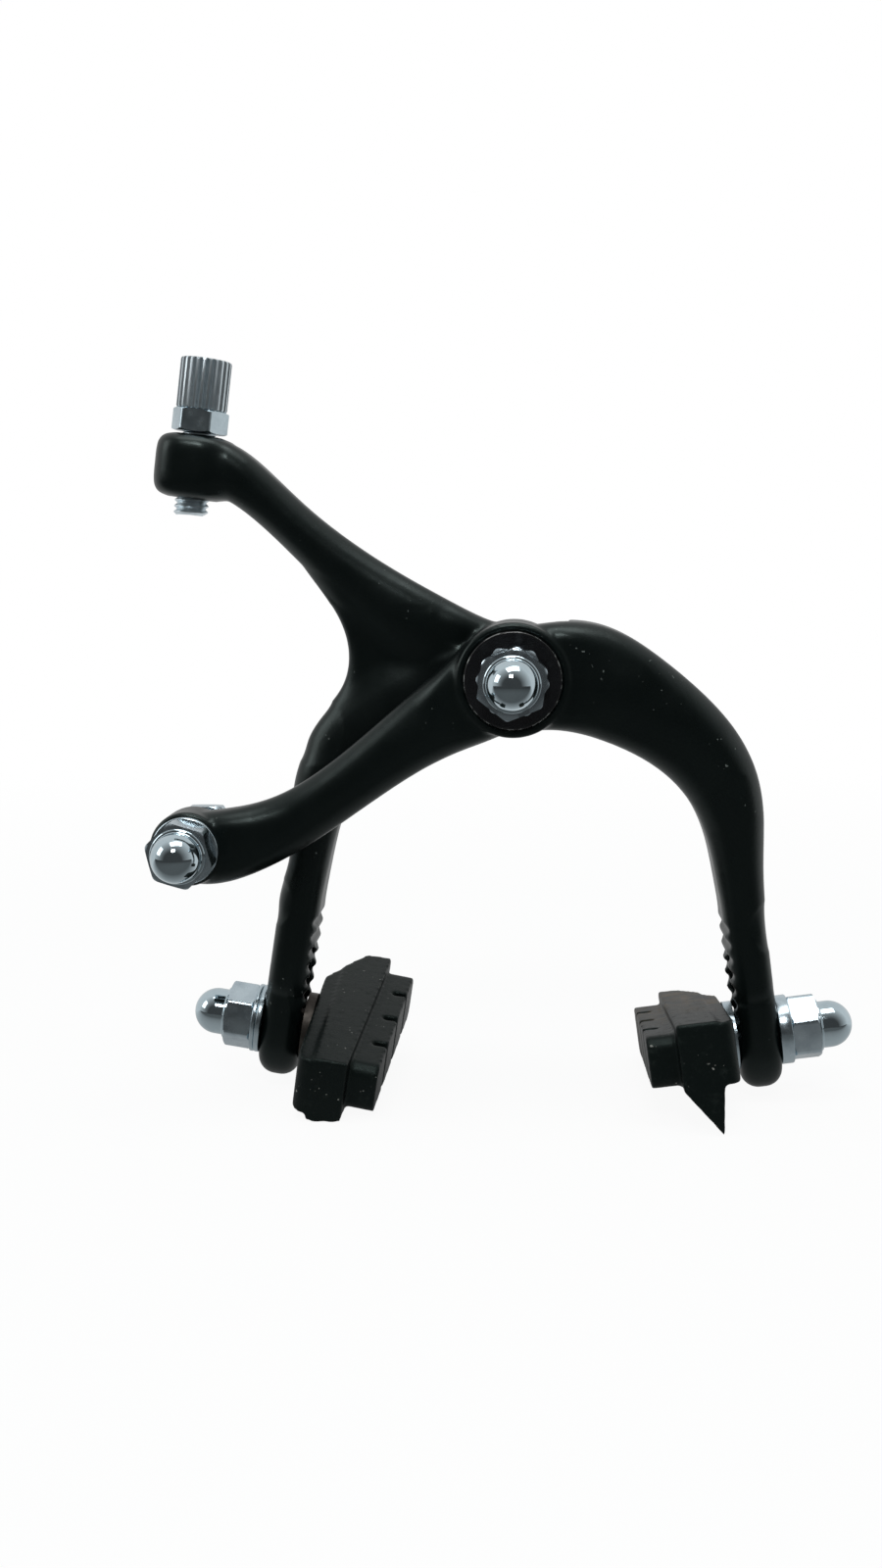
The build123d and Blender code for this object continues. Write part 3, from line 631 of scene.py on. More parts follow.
@dataclass
class Leg:
    """Where a pad's post crosses an arm's leg, and the body of the nut on it."""

    x: float
    z: float
    tilt: float
    hand: int
    nut_body: str
    y: float = -15.3
    thickness: float = 7.3

    def seat(self, offset: float) -> Seat:
        """Returns the seat on the outside of the leg at an offset from its outer face."""
        angle = math.radians(self.tilt)
        outward = Vector((self.hand * math.cos(angle), 0, math.sin(angle)))
        upward = Vector((-self.hand * math.sin(angle), 0, math.cos(angle)))
        middle = Vector((self.x, self.y, self.z))
        return Seat(middle + outward * (self.thickness / 2 + offset), upward, outward)


@dataclass
class HexNut:
    """Hexagon with rubbed corners and turned-off ends; the nut and lock nut blank."""

    flats: float
    height: float
    turn: float
    chamfer: float = 0.7
    corner: float = 0.45
    bore: float = 2.6

    def blank(self, name: str) -> Piece:
        """Returns the solid hexagon on the Z axis."""
        radius = self.flats / math.sqrt(3)
        Bench.clear()
        bpy.ops.mesh.primitive_cylinder_add(
            vertices=6, radius=radius * MM, depth=self.height * MM,
            location=(0, 0, self.height / 2 * MM), rotation=(0, 0, math.radians(self.turn - 90)))
        piece = bpy.context.object
        piece.name = name
        bpy.ops.object.transform_apply()
        points = piece.data.vertices
        Bench.edit(piece, "EDGE", lambda e: abs(
            points[e.vertices[0]].co.z - points[e.vertices[1]].co.z) > self.height * MM / 2)
        bpy.ops.mesh.bevel(offset=self.corner * MM, segments=3, affect="EDGES")
        bpy.ops.object.mode_set(mode="OBJECT")
        slope = self.chamfer * 0.6
        edge = radius - self.corner * 0.12
        lower = [(edge - self.chamfer, 0.0), (edge - self.chamfer * 0.4, slope * 0.35), (edge, slope)]
        upper = [(reach, self.height - z) for reach, z in reversed(lower)]
        cone = Bench.lathe("cone", [(0, 0), *lower, *upper, (0, self.height)], closed=False)
        Bench.combine(piece, cone, "INTERSECT")
        return piece

    def build(self, name: str) -> Piece:
        """Returns the hexagon with its bore."""
        piece = self.blank(name)
        above = self.height + 1
        drill = Bench.lathe("drill", [(0, -1), (self.bore, -1), (self.bore, above), (0, above)],
                            closed=False, steps=48)
        Bench.combine(piece, drill, "DIFFERENCE")
        return piece


@dataclass
class AcornNut:
    """Cap nut: hexagon, low collar and polished dome."""

    hexagon: HexNut
    dome: float
    height: float
    collar: float = 0.5

    def build(self, name: str, rough: Material, mirror: Material) -> Piece:
        """Makes the nut on the Z axis.

        Args:
            name: The piece's name.
            rough: Finish of the hexagon.
            mirror: Finish of the dome.

        Returns:
            The nut.
        """
        piece = self.hexagon.blank(name)
        top = self.hexagon.height
        base = self.dome + self.collar
        profile = [(0, top - 0.5), (base, top - 0.5)]
        profile += [(base, top + self.collar * 0.55), (base - 0.12, top + self.collar * 0.85),
                    (base - 0.3, top + self.collar), (self.dome + 0.08, top + self.collar + 0.02)]
        profile += [(self.dome, top + self.collar + 0.12)]
        for step in range(13):
            turn = math.radians(90 * step / 12)
            profile.append((self.dome * math.cos(turn), self.height - self.dome + self.dome * math.sin(turn)))
        profile[-1] = (0, self.height)
        cap = Bench.lathe("cap", profile, closed=False, steps=96)
        Bench.combine(piece, cap, "UNION")
        piece.data.materials.clear()
        piece.data.materials.append(rough)
        piece.data.materials.append(mirror)
        limit = (top + 0.02) * MM
        for face in piece.data.polygons:
            reach = math.hypot(face.center.x, face.center.y)
            face.material_index = 1 if face.center.z > limit and reach < (base + 0.01) * MM else 0
        return piece

    def mount(self, name: str, node: str, seat: Seat, body: str, finishes: "Finishes") -> None:
        """Makes the nut at its seat, in place of its node."""
        piece = self.build(name, finishes.rough, finishes.mirror)
        Bench.place(piece, seat)
        Bench.hand_in(piece, body, Finish.ZINC, finishes.rough, node)


@dataclass
class Washer:
    """Punched washer with rounded outer edges."""

    radius: float
    hole: float
    thickness: float
    rounding: float = 0.25

    def build(self, name: str) -> Piece:
        """Returns the washer on the Z axis."""
        corner = min(self.rounding, self.thickness * 0.45)
        profile = [(self.hole, 0.0)]
        profile += round_corner(self.radius, 0.0, corner, top=False)
        profile += round_corner(self.radius, self.thickness, corner, top=True)
        profile += [(self.hole + 0.1, self.thickness), (self.hole, self.thickness - 0.1)]
        return Bench.lathe(name, profile, steps=96)

    def mount(self, name: str, node: str, seat: Seat, body: str, finishes: "Finishes") -> None:
        """Makes the washer at its seat, in place of its node."""
        piece = self.build(name)
        Bench.place(piece, seat)
        Bench.hand_in(piece, body, Finish.ZINC, finishes.of(Finish.ZINC), node)


@dataclass
class Thread:
    """Screw thread: a core with one ridge wound round it."""

    radius: float
    length: float
    pitch: float = 1.0
    depth: float = 0.42
    bore: float = 0.0

    def build(self, name: str) -> Piece:
        """Returns the thread from the origin up the Z axis, with a turned-off tip at its top."""
        core = self.radius - self.depth
        profile = [(self.bore, 0), (core, 0), (core, self.length - 0.5), (core - 0.4, self.length),
                   (self.bore, self.length)]
        piece = Bench.lathe(name, profile, closed=self.bore > 0, steps=48)
        half = self.pitch / 2
        tooth = [(core - 0.1, 0.0), (core, 0.06), (self.radius, half - 0.09), (self.radius, half + 0.09),
                 (core, self.pitch - 0.06), (core - 0.1, self.pitch)]
        ridge = Bench.trace("ridge", tooth, closed=True)
        bpy.ops.object.mode_set(mode="OBJECT")
        turns = int((self.length - 0.7) / self.pitch)
        Bench.modify(ridge, "SCREW", axis="Z", screw_offset=self.pitch * MM, iterations=turns, steps=32,
                     render_steps=32, use_merge_vertices=True, merge_threshold=1e-6)
        Bench.pick(ridge)
        bpy.ops.object.mode_set(mode="EDIT")
        bpy.ops.mesh.select_mode(type="EDGE")
        bpy.ops.mesh.select_all(action="DESELECT")
        bpy.ops.mesh.select_non_manifold()
        bpy.ops.mesh.edge_face_add()
        bpy.ops.object.mode_set(mode="OBJECT")
        Bench.settle(ridge)
        Bench.join(piece, ridge)
        return piece


@dataclass(frozen=True)
class Station:
    """A place along a limb: its middle, width and crown, in millimetres."""

    x: float
    z: float
    width: float
    middle_y: float
    crown: float


def limb(*rows: tuple[float, float, float, float, float]) -> list[Station]:
    """Returns a limb's stations from rows of x, z, width, middle and crown."""
    return [Station(*row) for row in rows]


SHOULDER = limb(
    (11.7, 0.1, 18.3, -22.0, 0.20), (18.6, -2.5, 17.2, -22.0, 0.22),
    (24.9, -6.5, 15.2, -21.3, 0.24), (30.6, -11.4, 13.8, -20.3, 0.26),
    (35.0, -17.4, 12.5, -19.1, 0.26), (37.6, -24.6, 10.6, -17.8, 0.22),
    (38.8, -32.8, 8.5, -16.3, 0.14), (39.9, -42.2, 7.3, -15.3, 0.0),
)
ANCHOR_LIMB = limb(
    (-7.3, -3.6, 14.9, -26.7, 0.30), (-12.5, -7.0, 12.6, -26.7, 0.34),
    (-17.9, -10.6, 10.9, -26.7, 0.36), (-23.8, -15.0, 9.8, -26.7, 0.36),
    (-30.0, -19.6, 9.4, -26.7, 0.36), (-36.3, -23.7, 9.8, -26.7, 0.30),
    (-42.6, -26.6, 11.0, -26.9, 0.14), (-49.0, -28.4, 12.3, -27.0, 0.0),
)
BRANCH = limb(
    (-3.0, 1.4, 16.8, -18.0, 0.20), (-14.4, 7.2, 12.8, -18.0, 0.30),
    (-23.7, 13.9, 10.2, -18.0, 0.34), (-31.1, 19.7, 8.6, -18.0, 0.34),
    (-37.1, 25.0, 7.6, -18.0, 0.30), (-41.8, 29.3, 7.6, -18.0, 0.20),
    (-46.5, 33.1, 8.4, -18.0, 0.08), (-53.4, 35.2, 9.2, -18.0, 0.0),
)
LEFT_LIMB = limb(
    (-3.0, -0.5, 16.5, -18.0, 0.20), (-12.0, -2.6, 15.5, -18.0, 0.26),
    (-20.5, -6.3, 14.4, -18.0, 0.30), (-27.8, -11.8, 12.8, -17.7, 0.30),
    (-32.3, -18.0, 10.8, -17.2, 0.28), (-34.4, -25.2, 8.6, -16.5, 0.22),
    (-35.6, -33.2, 7.1, -15.8, 0.12), (-37.4, -41.8, 7.3, -15.3, 0.0),
)


def along(limb: list[Station], x: float, z: float) -> tuple[float, Station]:
    """Finds where on a limb a point of an arm lies.

    Args:
        limb: The limb's stations.
        x: The point's place in millimetres.
        z: The point's height in millimetres.

    Returns:
        The distance from the limb's middle as a share of its half width, and the station there.
    """
    best = (9.0, limb[0])
    for a, b in zip(limb, limb[1:]):
        run_x, run_z = b.x - a.x, b.z - a.z
        t = ((x - a.x) * run_x + (z - a.z) * run_z) / (run_x * run_x + run_z * run_z)
        t = min(1.0, max(0.0, t))
        width = a.width + (b.width - a.width) * t
        share = math.hypot(x - a.x - run_x * t, z - a.z - run_z * t) * 2 / width
        if share < best[0]:
            best = (share, Station(x, z, width, a.middle_y + (b.middle_y - a.middle_y) * t,
                                   a.crown + (b.crown - a.crown) * t))
    return best


def inward(limbs: list[list[Station]], x: float, z: float) -> tuple[float, float]:
    """Blends the crowns of an arm's limbs at a point, so that the web between them stays smooth.

    Args:
        limbs: The arm's limbs.
        x: The point's place in millimetres.
        z: The point's height in millimetres.

    Returns:
        The share by which the arm is drawn in there, and the middle it is drawn in to.
    """
    total = pull = middle = 0.0
    for limb in limbs:
        share, station = along(limb, x, z)
        weight = math.exp(-5.0 * min(share, 4.0))
        total += weight
        pull += weight * station.crown * min(share, 1.15) ** 2
        middle += weight * station.middle_y
    return pull / total, middle / total


@dataclass
class Arms:
    """The two forged arms, with crowned limbs, blended joints and softened edges."""

    voxel: float = 0.36
    rounds: int = 6
    boss_clear: float = 11.0
    boss_fade: float = 6.0
    steps: tuple[tuple[float, float, float, int], ...] = (
        (-34.5, -9.5, 5.8, 150), (-42.6, -39.3, 4.6, 90), (45.0, -42.7, 4.6, 90))
    web_x: float = -14.0
    web_y: float = -23.5
    web_heights: Point = (-24.0, 12.0)
    head_x: float = -48.0
    head_z: float = 27.5
    barrel_seat: Triple = (-53.5, -18.0, 40.3)
    barrel_axis: Triple = (0.1288, 0.0, 0.9917)
    barrel_clear: float = 4.2

    def build(self, paint: Material) -> None:
        """Makes both arms from the frame's own solids.

        Args:
            paint: The arms' finish.
        """
        for node, body, limbs in (("front_arm", "front_arm_body", [SHOULDER, ANCHOR_LIMB]),
                                  ("rear_arm", "rear_arm_body", [BRANCH, LEFT_LIMB])):
            piece = Bench.copy_node(f"forged_{node}", node)
            Bench.soften(piece, self.voxel, self.rounds)
            self.crown(piece, limbs)
            Bench.hand_in(piece, body, Finish.PAINT, paint, node, angle=180.0)

    def crown(self, piece: Piece, limbs: list[list[Station]]) -> None:
        """Rounds the limbs' front and back faces by drawing them in towards the limbs' edges.

        Args:
            piece: The arm.
            limbs: Its limbs.
        """
        for point in piece.data.vertices:
            x, y, z = (c / MM for c in point.co)
            pull, middle = inward(limbs, x, z)
            fade = min(1.0, max(0.0, (math.hypot(x, z) - self.boss_clear) / self.boss_fade))
            depth = 1 - pull * fade * fade * (3 - 2 * fade)
            point.co.y = (middle + (y - middle) * depth) * MM
        self.ease(piece)

    def ease(self, piece: Piece) -> None:
        """Smooths the web, the places where the CAD lofts have a step, and the head's corners.

        Args:
            piece: The arm.
        """
        low, high = self.web_heights
        self.smooth(piece, 24, lambda p: p.x < self.web_x and low < p.z < high and p.y > self.web_y)
        for x, z, reach, rounds in self.steps:
            self.smooth(piece, rounds, lambda p: math.hypot(p.x - x, p.z - z) < reach)
        seat = Vector(self.barrel_seat)
        axis = Vector(self.barrel_axis)
        self.smooth(piece, 40, lambda p: p.z > self.head_z and p.x < self.head_x and
                    ((p - seat) - axis * (p - seat).dot(axis)).length > self.barrel_clear)

    def smooth(self, piece: Piece, rounds: int, test: Callable[[Vector], bool]) -> None:
        """Smooths the points whose place in millimetres passes a test, a number of rounds."""
        Bench.edit(piece, "VERT", lambda point: test(point.co / MM))
        bpy.ops.mesh.vertices_smooth(factor=SMOOTHING, repeat=rounds)
        bpy.ops.object.mode_set(mode="OBJECT")


@dataclass
class PivotStack:
    """Front disc, lock nut and cap nut on the pivot bolt, and the bolt itself."""

    disc_seat_y: float = -30.5
    disc_radius: float = 8.05
    disc_thickness: float = 1.0
    disc_hole: float = 3.0
    lock_thickness: float = 3.0
    nut_flats: float = 10.5
    bolt_radius: float = 3.0
    shank_radius: float = 2.8
    bolt_front_y: float = -41.8
    bolt_rear_y: float = 38.0
    thread_start_y: float = 6.0

    def build(self, finishes: "Finishes") -> None:
        """Makes the pieces of the stack that show.

        Args:
            finishes: The brake's materials.
        """
        self.build_disc(finishes)
        self.build_nuts(finishes)
        self.build_bolt(finishes)

    def build_disc(self, finishes: "Finishes") -> None:
        """Makes the disc, a little dished inside its rounded rim."""
        r = self.disc_radius
        t = self.disc_thickness
        profile = [(self.disc_hole, 0)]
        profile += round_corner(r, 0, 0.2, top=False) + round_corner(r, t, 0.28, top=True)
        profile += [(r - 0.45, t - 0.02), (r - 0.7, t - 0.1), (5.0, t - 0.12), (self.disc_hole, t - 0.12)]
        piece = Bench.lathe("dished_disc", profile, steps=128)
        Bench.place(piece, front_seat(self.disc_seat_y))
        Bench.hand_in(piece, "base", Finish.DISC, finishes.of(Finish.DISC), "front_disc")

    def build_nuts(self, finishes: "Finishes") -> None:
        """Makes the thin lock nut and the cap nut, turned against each other."""
        seat = front_seat(self.disc_seat_y).raised(self.disc_thickness)
        lock = HexNut(self.nut_flats, self.lock_thickness, 56.0, bore=2.83).build("thin_lock_nut")
        Bench.place(lock, seat)
        Bench.hand_in(lock, "base", Finish.ZINC, finishes.rough, "lock_nut")
        cap = AcornNut(HexNut(self.nut_flats, 4.8, 22.0), 4.1, 10.2)
        cap.mount("pivot_cap_nut", "pivot_nut", seat.raised(self.lock_thickness), "base", finishes)

    def build_bolt(self, finishes: "Finishes") -> None:
        """Makes the bolt: smooth shank in front, thread at the back."""
        shank = Bench.lathe("threaded_bolt", [
            (0, 0), (self.shank_radius - 0.6, 0), (self.shank_radius, 0.6),
            (self.shank_radius, self.thread_start_y - self.bolt_front_y),
            (0, self.thread_start_y - self.bolt_front_y)], closed=False)
        Bench.place(shank, rear_seat(self.bolt_front_y))
        thread = Thread(self.bolt_radius, self.bolt_rear_y - self.thread_start_y + 0.01).build("thread")
        Bench.place(thread, rear_seat(self.thread_start_y - 0.01))
        Bench.join(shank, thread)
        Bench.hand_in(shank, "base", Finish.BOLT, finishes.of(Finish.BOLT), "pivot_bolt")


@dataclass
class PadHardware:
    """Nuts and washers on the outer ends of the pads' posts."""

    right: Leg
    left: Leg
    radius: float = 6.0
    hole: float = 3.15
    right_washer: float = 2.3
    left_plate: float = 1.0
    left_washer: float = 0.8

    def build(self, finishes: "Finishes") -> None:
        """Makes both legs' washers and cap nuts.

        Args:
            finishes: The brake's materials.
        """
        outer = self.left_plate + self.left_washer
        washers = (("right_outer_washer", self.right, 0.0, self.right_washer),
                   ("left_outer_plate", self.left, 0.0, self.left_plate),
                   ("left_outer_washer", self.left, self.left_plate, self.left_washer))
        for node, leg, offset, thickness in washers:
            washer = Washer(self.radius, self.hole, thickness)
            washer.mount(f"punched_{node}", node, leg.seat(offset), leg.nut_body, finishes)
        for node, leg, offset, turn in (("right_pad_nut", self.right, self.right_washer, 4.0),
                                        ("left_pad_nut", self.left, outer, 8.0)):
            nut = AcornNut(HexNut(10.3, 4.8, turn), 4.05, 10.88)
            nut.mount(f"domed_{node}", node, leg.seat(offset), leg.nut_body, finishes)


@dataclass
class CableAnchor:
    """Pinch washer and cap nut at the front arm's lower left end."""

    x: float = -54.4
    z: float = -28.5
    face_y: float = -31.2
    washer_radius: float = 5.65
    washer_thickness: float = 1.2

    def build(self, finishes: "Finishes") -> None:
        """Makes the washer and the nut.

        Args:
            finishes: The brake's materials.
        """
        seat = front_seat(self.face_y, self.x, self.z)
        washer = Washer(self.washer_radius, 3.2, self.washer_thickness, 0.3)
        washer.mount("pinch_washer", "anchor_washer", seat, "front_arm_body", finishes)
        nut = AcornNut(HexNut(10.0, 5.0, 44.0), 4.1, 10.6)
        nut.mount("anchor_cap_nut", "anchor_nut", seat.raised(self.washer_thickness),
                  "front_arm_body", finishes)


@dataclass
class CableAdjuster:
    """Fluted knob on a threaded barrel, with its lock nut above the rear arm's head."""

    x: float = -53.5
    y: float = -18.0
    z: float = 40.3
    tilt: float = 7.4
    head_height: float = 10.6
    nut_gap: float = 0.5
    nut_flats: float = 8.5
    nut_thickness: float = 3.7
    knob_radius: float = 4.28
    knob_length: float = 8.4
    flutes: int = 24
    flute_depth: float = 0.4
    barrel_radius: float = 2.87
    barrel_tip: float = 2.7
    seat_radius: float = 2.6
    seat_depth: float = 6.0
    bore: float = 1.1

    def seat(self) -> Seat:
        """Returns the seat on the head's top."""
        angle = math.radians(self.tilt)
        across = Vector((math.cos(angle), 0, -math.sin(angle)))
        return Seat(Vector((self.x, self.y, self.z)), across, Vector((math.sin(angle), 0, math.cos(angle))))

    def build(self, finishes: "Finishes") -> None:
        """Makes the lock nut, the knob and the threaded barrel.

        Args:
            finishes: The brake's materials.
        """
        seat = self.seat().raised(self.nut_gap)
        nut = HexNut(self.nut_flats, self.nut_thickness, 0.0, chamfer=0.6, bore=2.9).build("barrel_lock_nut")
        Bench.place(nut, seat)
        Bench.hand_in(nut, "adjuster_nut_body", Finish.ZINC, finishes.of(Finish.ZINC), "adjuster_nut")
        knob = self.knob()
        seat = seat.raised(self.nut_thickness)
        Bench.place(knob, seat)
        length = self.nut_thickness + self.nut_gap + self.head_height + self.barrel_tip
        barrel = Thread(self.barrel_radius, length + 0.2, bore=self.bore).build("barrel")
        top = seat.raised(0.2)
        Bench.place(barrel, Seat(top.origin, -top.across, -top.along))
        Bench.join(knob, barrel)
        Bench.hand_in(knob, "adjuster_body", Finish.ZINC, finishes.knob, "adjuster_barrel")

    def knob(self) -> Piece:
        """Returns the knob on the Z axis: pressed-in flutes, rounded rims and the housing's seat."""
        count = self.flutes * 6
        Bench.clear()
        bpy.ops.mesh.primitive_cylinder_add(vertices=count, radius=self.knob_radius * MM,
                                            depth=(self.knob_length + 0.4) * MM,
                                            location=(0, 0, self.knob_length / 2 * MM))
        piece = bpy.context.object
        piece.name = "fluted_knob"
        bpy.ops.object.transform_apply()
        for phases, share in (((0,), 1.0), ((1, 5), 0.72)):
            scale = 1 - self.flute_depth * share / self.knob_radius
            Bench.edit(piece, "VERT", lambda point: round(
                math.atan2(point.co.y, point.co.x) * count / math.tau) % 6 in phases)
            bpy.ops.transform.resize(value=(scale, scale, 1))
            bpy.ops.object.mode_set(mode="OBJECT")
        floor = self.knob_length - self.seat_depth
        r = self.seat_radius
        top = self.knob_length
        rim = self.knob_radius + 0.02
        outside = [(rim - 0.5, 0), (rim - 0.12, 0.14), (rim, 0.45),
                   (rim, top - 0.45), (rim - 0.12, top - 0.14), (rim - 0.45, top)]
        inside = [(r + 0.25, top), (r, top - 0.3), (r, floor), (self.bore, floor)]
        form = Bench.lathe("form", [(self.bore, 0), *outside, *inside], steps=96)
        Bench.combine(piece, form, "INTERSECT")
        return piece


@dataclass
class Pads:
    """Moulded rubber pads with their torn flash."""

    voxel: float = 0.3
    rounds: int = 9
    strips: tuple[Triple, ...] = (
        (-33.8, 1.3, -73.7), (-32.6, 1.5, -74.05), (-31.2, 1.5, -73.9), (-29.9, 1.3, -74.08))
    strip_y: float = -34.5
    strip_thickness: float = 0.9
    strip_height: float = 2.4

    def build(self, rubber: Material) -> None:
        """Makes both pads from the frame's own solids.

        Args:
            rubber: The pads' finish.
        """
        for node in ("right_pad", "left_pad"):
            piece = Bench.copy_node(f"moulded_{node}", node)
            if node == "left_pad":
                self.flash(piece)
            Bench.soften(piece, self.voxel, self.rounds)
            Bench.hand_in(piece, f"{node}_body", Finish.RUBBER, rubber, node, angle=180.0)

    def flash(self, piece: Piece) -> None:
        """Adds the torn flash that hangs from the lower edge of the left pad's near end."""
        for x, width, bottom in self.strips:
            Bench.clear()
            place = (x * MM, self.strip_y * MM, (bottom + self.strip_height / 2) * MM)
            bpy.ops.mesh.primitive_cube_add(size=MM, location=place)
            strip = bpy.context.object
            strip.scale = (width, self.strip_thickness, self.strip_height)
            bpy.ops.object.transform_apply()
            Bench.combine(piece, strip, "UNION")


@dataclass
class ReturnSpring:
    """The bent wire, in two halves that each follow an arm from the boss outwards."""

    hold: float = 8.5
    lift: float = 5.0
    right_tip: Point = (34.6, -25.0)
    left_tip: Point = (-32.9, -24.6)
    wire_y: float = -9.3

    def build(self, wire: Material) -> None:
        """Makes the two halves.

        Args:
            wire: The wire's finish.
        """
        for side, tip, body in ((1, self.right_tip, "front_arm_body"), (-1, self.left_tip, "rear_arm_body")):
            piece = Bench.copy_node("spring_right_leg" if side > 0 else "spring_left_leg", "return_spring")
            Bench.pick(piece)
            bpy.ops.object.mode_set(mode="EDIT")
            bpy.ops.mesh.select_all(action="SELECT")
            bpy.ops.mesh.bisect(plane_co=(0, 0, 0), plane_no=(side, 0, 0), use_fill=True, clear_inner=True)
            bpy.ops.object.mode_set(mode="OBJECT")
            Bench.hand_in(piece, None, Finish.SPRING, wire, "return_spring", angle=60.0)
            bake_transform(piece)


@dataclass
class PhotoCamera:
    """The camera at the photograph's place; pixels are those of the 900 x 1600 frame."""

    frame_width: float = 900.0
    frame_height: float = 1600.0
    focal: float = 1612.0
    vanish_x: float = 545.0
    vanish_y: float = 575.0
    place: Triple = (3.3, -288.0, 18.9)
    sensor: float = 36.0

    def build(self) -> None:
        """Makes the camera, level along X, with +Y running to its vanishing point."""
        shift_x = self.vanish_x - self.frame_width / 2
        shift_y = self.frame_height / 2 - self.vanish_y
        rear = Vector((shift_x, shift_y, self.focal))
        rear.normalize()
        above = Vector((0, rear.z, -rear.y)).normalized()
        right = above.cross(rear)
        axes = Matrix((
            (right.x, right.y, -right.z),
            (rear.x, rear.y, -rear.z),
            (above.x, above.y, -above.z),
        ))
        data = bpy.data.cameras.new("camera")
        data.sensor_width = self.sensor
        data.lens = self.focal / self.frame_height * self.sensor
        data.clip_start = 0.01
        camera = bpy.data.objects.new("camera", data)
        bpy.context.scene.collection.objects.link(camera)
        camera.matrix_world = Matrix.Translation(Vector(self.place) * MM) @ axes.to_4x4()
        bpy.context.scene.camera = camera


@dataclass
class Studio:
    """Pale floor, white surroundings and soft lamps."""

    floor_size: float = 4.0
    shadow_reach: float = 0.16
    shadow_fade: float = 0.45
    white_share: float = 0.93
    room: Triple = (0.80, 0.88, 0.88)
    room_light: float = 0.5
    front_dark: float = 0.05
    side_light: float = 0.62
    floor_depths: Point = (-0.06, 0.03)
    room_depths: Point = (-0.75, 0.15)
    floor_colour: Triple = (0.93, 0.93, 0.93)

    def build(self) -> None:
        """Makes the floor, the world and the lamps."""
        self.build_floor()
        self.build_world()
        self.add_lamp("window_lamp", (-0.06, -0.80, 0.78), (0.26, 0.26), 2.6)
        self.add_lamp("top_lamp", (0.05, -0.15, 1.1), (0.9, 0.5), 3.6)
        self.add_lamp("left_lamp", (-0.95, -0.25, 0.45), (0.4, 0.5), 1.2)

    def build_floor(self) -> None:
        """Lays the floor under the brake; it shows white, with the brake's shadow near it.

        The floor in front looks darker in the metal, as the photograph's room does there.
        """
        low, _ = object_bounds()
        Bench.clear()
        bpy.ops.mesh.primitive_plane_add(size=self.floor_size, location=(0, 0, low.z))
        floor = bpy.context.object
        floor.name = "floor"
        material = bpy.data.materials.new("pale_floor")
        material.use_nodes = True
        t = NodeTree(material.node_tree)
        place = t.add("TexCoord").outputs["Object"]
        reach = t.vector("LENGTH", place).outputs["Value"]
        fade = t.remap(reach, (self.shadow_reach, self.shadow_fade), (self.white_share, 1.0))
        glow = t.add("Emission")
        strength = t.dim_front(place, self.floor_depths, (self.front_dark, self.side_light))
        t.join(strength, glow.inputs["Strength"])
        matt = t.add("BsdfDiffuse", Color=(*self.floor_colour, 1))
        t.show(t.reckon("MULTIPLY", fade, t.seen_rays()), matt, glow, "OutputMaterial")
        floor.data.materials.append(material)
        floor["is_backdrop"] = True

    def build_world(self) -> None:
        """Gives the world a plain light; the camera sees white, and gloss a darker room in front."""
        world = bpy.data.worlds.new("studio")
        bpy.context.scene.world = world
        world.use_nodes = True
        t = NodeTree(world.node_tree)
        place = t.add("TexCoord").outputs["Generated"]
        white = t.add("Background", Color=(1, 1, 1, 1))
        strength = t.dim_front(place, self.room_depths, (self.front_dark, self.side_light))
        t.join(strength, white.inputs["Strength"])
        room = t.add("Background", Color=(*self.room, 1), Strength=self.room_light)
        t.show(t.seen_rays(), room, white, "OutputWorld")

    def add_lamp(self, name: str, place: Triple, size: Point, power: float) -> None:
        """Adds a rectangular soft lamp that points at the brake.

        Args:
            name: The lamp's name.
            place: Its middle in metres.
            size: Width and height in metres.
            power: Its power in watts.
        """
        data = bpy.data.lights.new(name, "AREA")
        data.shape = "RECTANGLE"
        data.size, data.size_y = size
        data.energy = power
        lamp = bpy.data.objects.new(name, data)
        bpy.context.scene.collection.objects.link(lamp)
        lamp.location = place
        lamp.rotation_euler = (-Vector(place)).to_track_quat("-Z", "Y").to_euler()


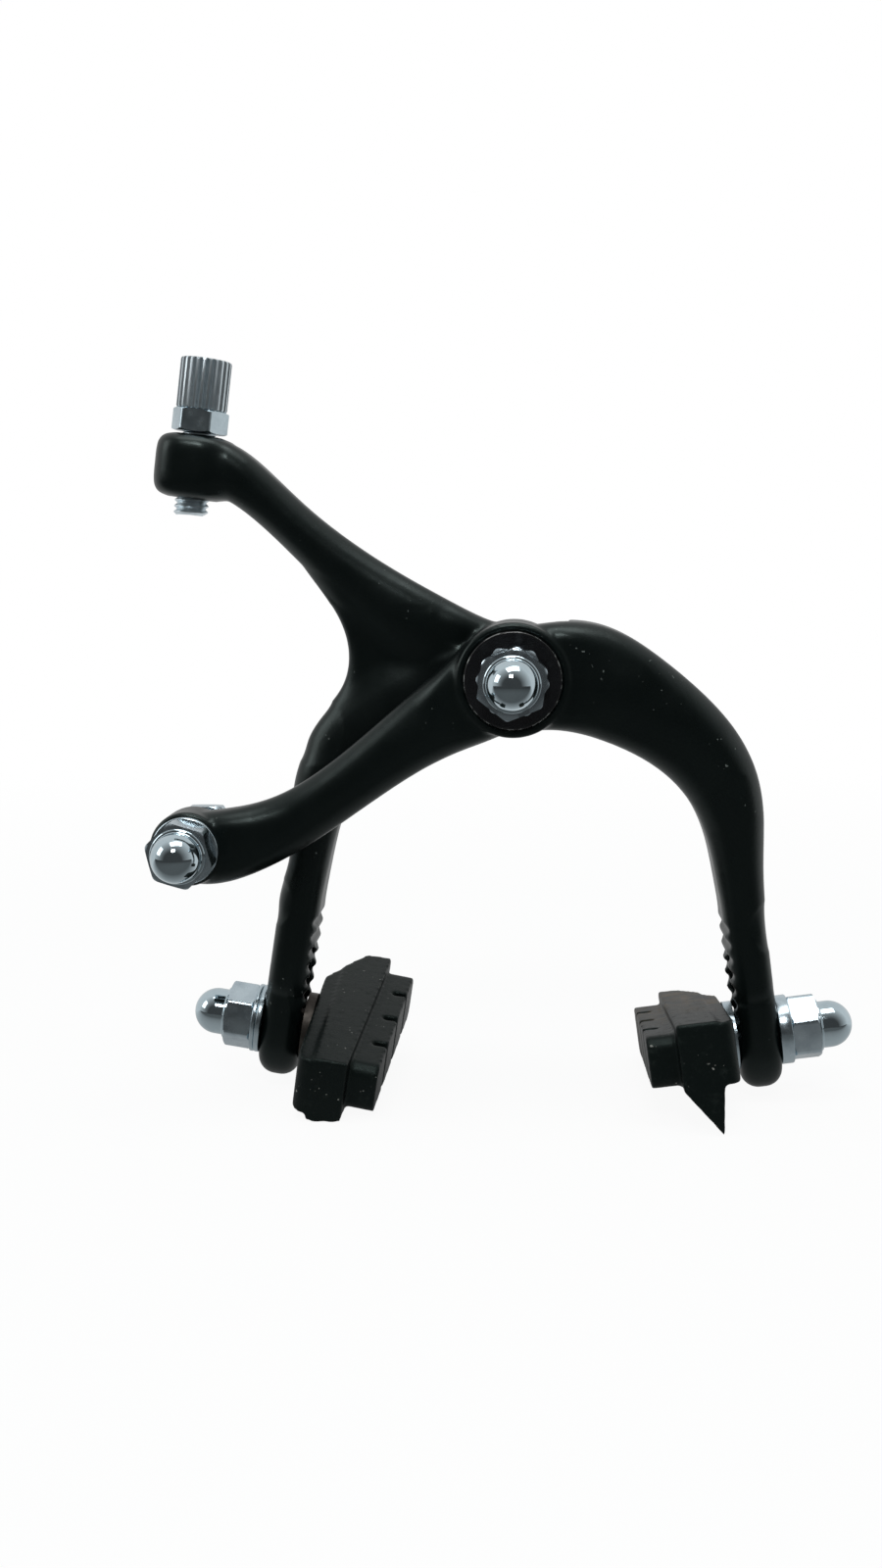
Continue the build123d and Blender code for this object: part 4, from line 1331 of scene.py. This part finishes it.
class Finishes:
    """All the brake's materials, by slot, with two zincs for the nuts, one for the knob and a near-black
    steel that is painted shade.
    """

    def __init__(self) -> None:
        """Builds each material once."""
        self.slots = {
            Finish.PAINT: SatinPaint().build(),
            Finish.DISC: GlossBlack().build(),
            Finish.ZINC: Metal(
                "bright_zinc", (0.64, 0.76, 0.82), (0.48, 0.58, 0.64), 0.17, 0.28, 0.14).build(),
            Finish.BOLT: Metal("bolt_steel", (0.6, 0.62, 0.64), (0.4, 0.4, 0.4), 0.2, 0.4).build(),
            Finish.SPRING: Metal("spring_wire", (0.5, 0.51, 0.52), (0.25, 0.24, 0.23), 0.25, 0.45).build(),
            Finish.BRASS: Metal("brass_washer", (0.62, 0.47, 0.22), (0.3, 0.22, 0.11), 0.3, 0.5).build(),
            Finish.RUBBER: Rubber().build(),
        }
        self.rough = Metal("rough_zinc", (0.65, 0.76, 0.82), (0.46, 0.55, 0.61), 0.17, 0.28, 0.12).build()
        self.knob = Metal("knob_zinc", (0.80, 0.90, 0.95), (0.70, 0.80, 0.85), 0.32, 0.38, 0.02).build()
        # Near-black steel: painted shade for the left inner washer and post, between the pad and the leg.
        self.shade_dark = Metal("dirty_steel", (0.11, 0.10, 0.09), (0.04, 0.036, 0.03), 0.45, 0.65).build()
        self.mirror = Metal("mirror_zinc", (0.66, 0.79, 0.85), (0.56, 0.68, 0.74), 0.05, 0.09, 0.04).build()

    def of(self, slot: Finish) -> Material:
        """Returns the material of a slot."""
        return self.slots[slot]


def dress_nodes(finishes: Finishes) -> None:
    """Gives every CAD node the finish of its slot, except the nodes in the shade by the left pad, which get
    the near-black steel of painted shade.

    Args:
        finishes: The brake's materials.
    """
    slots = {p["node"]: p["material_slot"] for p in frame["record"]["subparts"]}
    for node in frame["nodes"].values():
        slot = Finish(slots.get(node.name, Finish.ZINC.value))
        node.data.materials.clear()
        # Nodes in the shade by the left pad get the near-black steel, as painted shade.
        node.data.materials.append(finishes.shade_dark if node.name in SHADED_NODES else finishes.of(slot))


def main() -> None:
    """Builds the camera, the brake's pieces with their finishes, and the studio."""
    logging.basicConfig(level=logging.INFO)
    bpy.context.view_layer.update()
    bpy.context.scene.view_settings.view_transform = "Standard"
    PhotoCamera().build()
    finishes = Finishes()
    dress_nodes(finishes)
    right = Leg(x=42.9, z=-63.0, tilt=8.1, hand=1, nut_body="right_post_nut_body")
    left = Leg(x=-40.6, z=-62.55, tilt=8.9, hand=-1, nut_body="left_post_nut_body")
    Arms().build(finishes.of(Finish.PAINT))
    PivotStack().build(finishes)
    PadHardware(right, left).build(finishes)
    CableAnchor().build(finishes)
    CableAdjuster().build(finishes)
    Pads().build(finishes.of(Finish.RUBBER))
    ReturnSpring().build(finishes.of(Finish.SPRING))
    Studio().build()


if __name__ == "__main__":
    main()
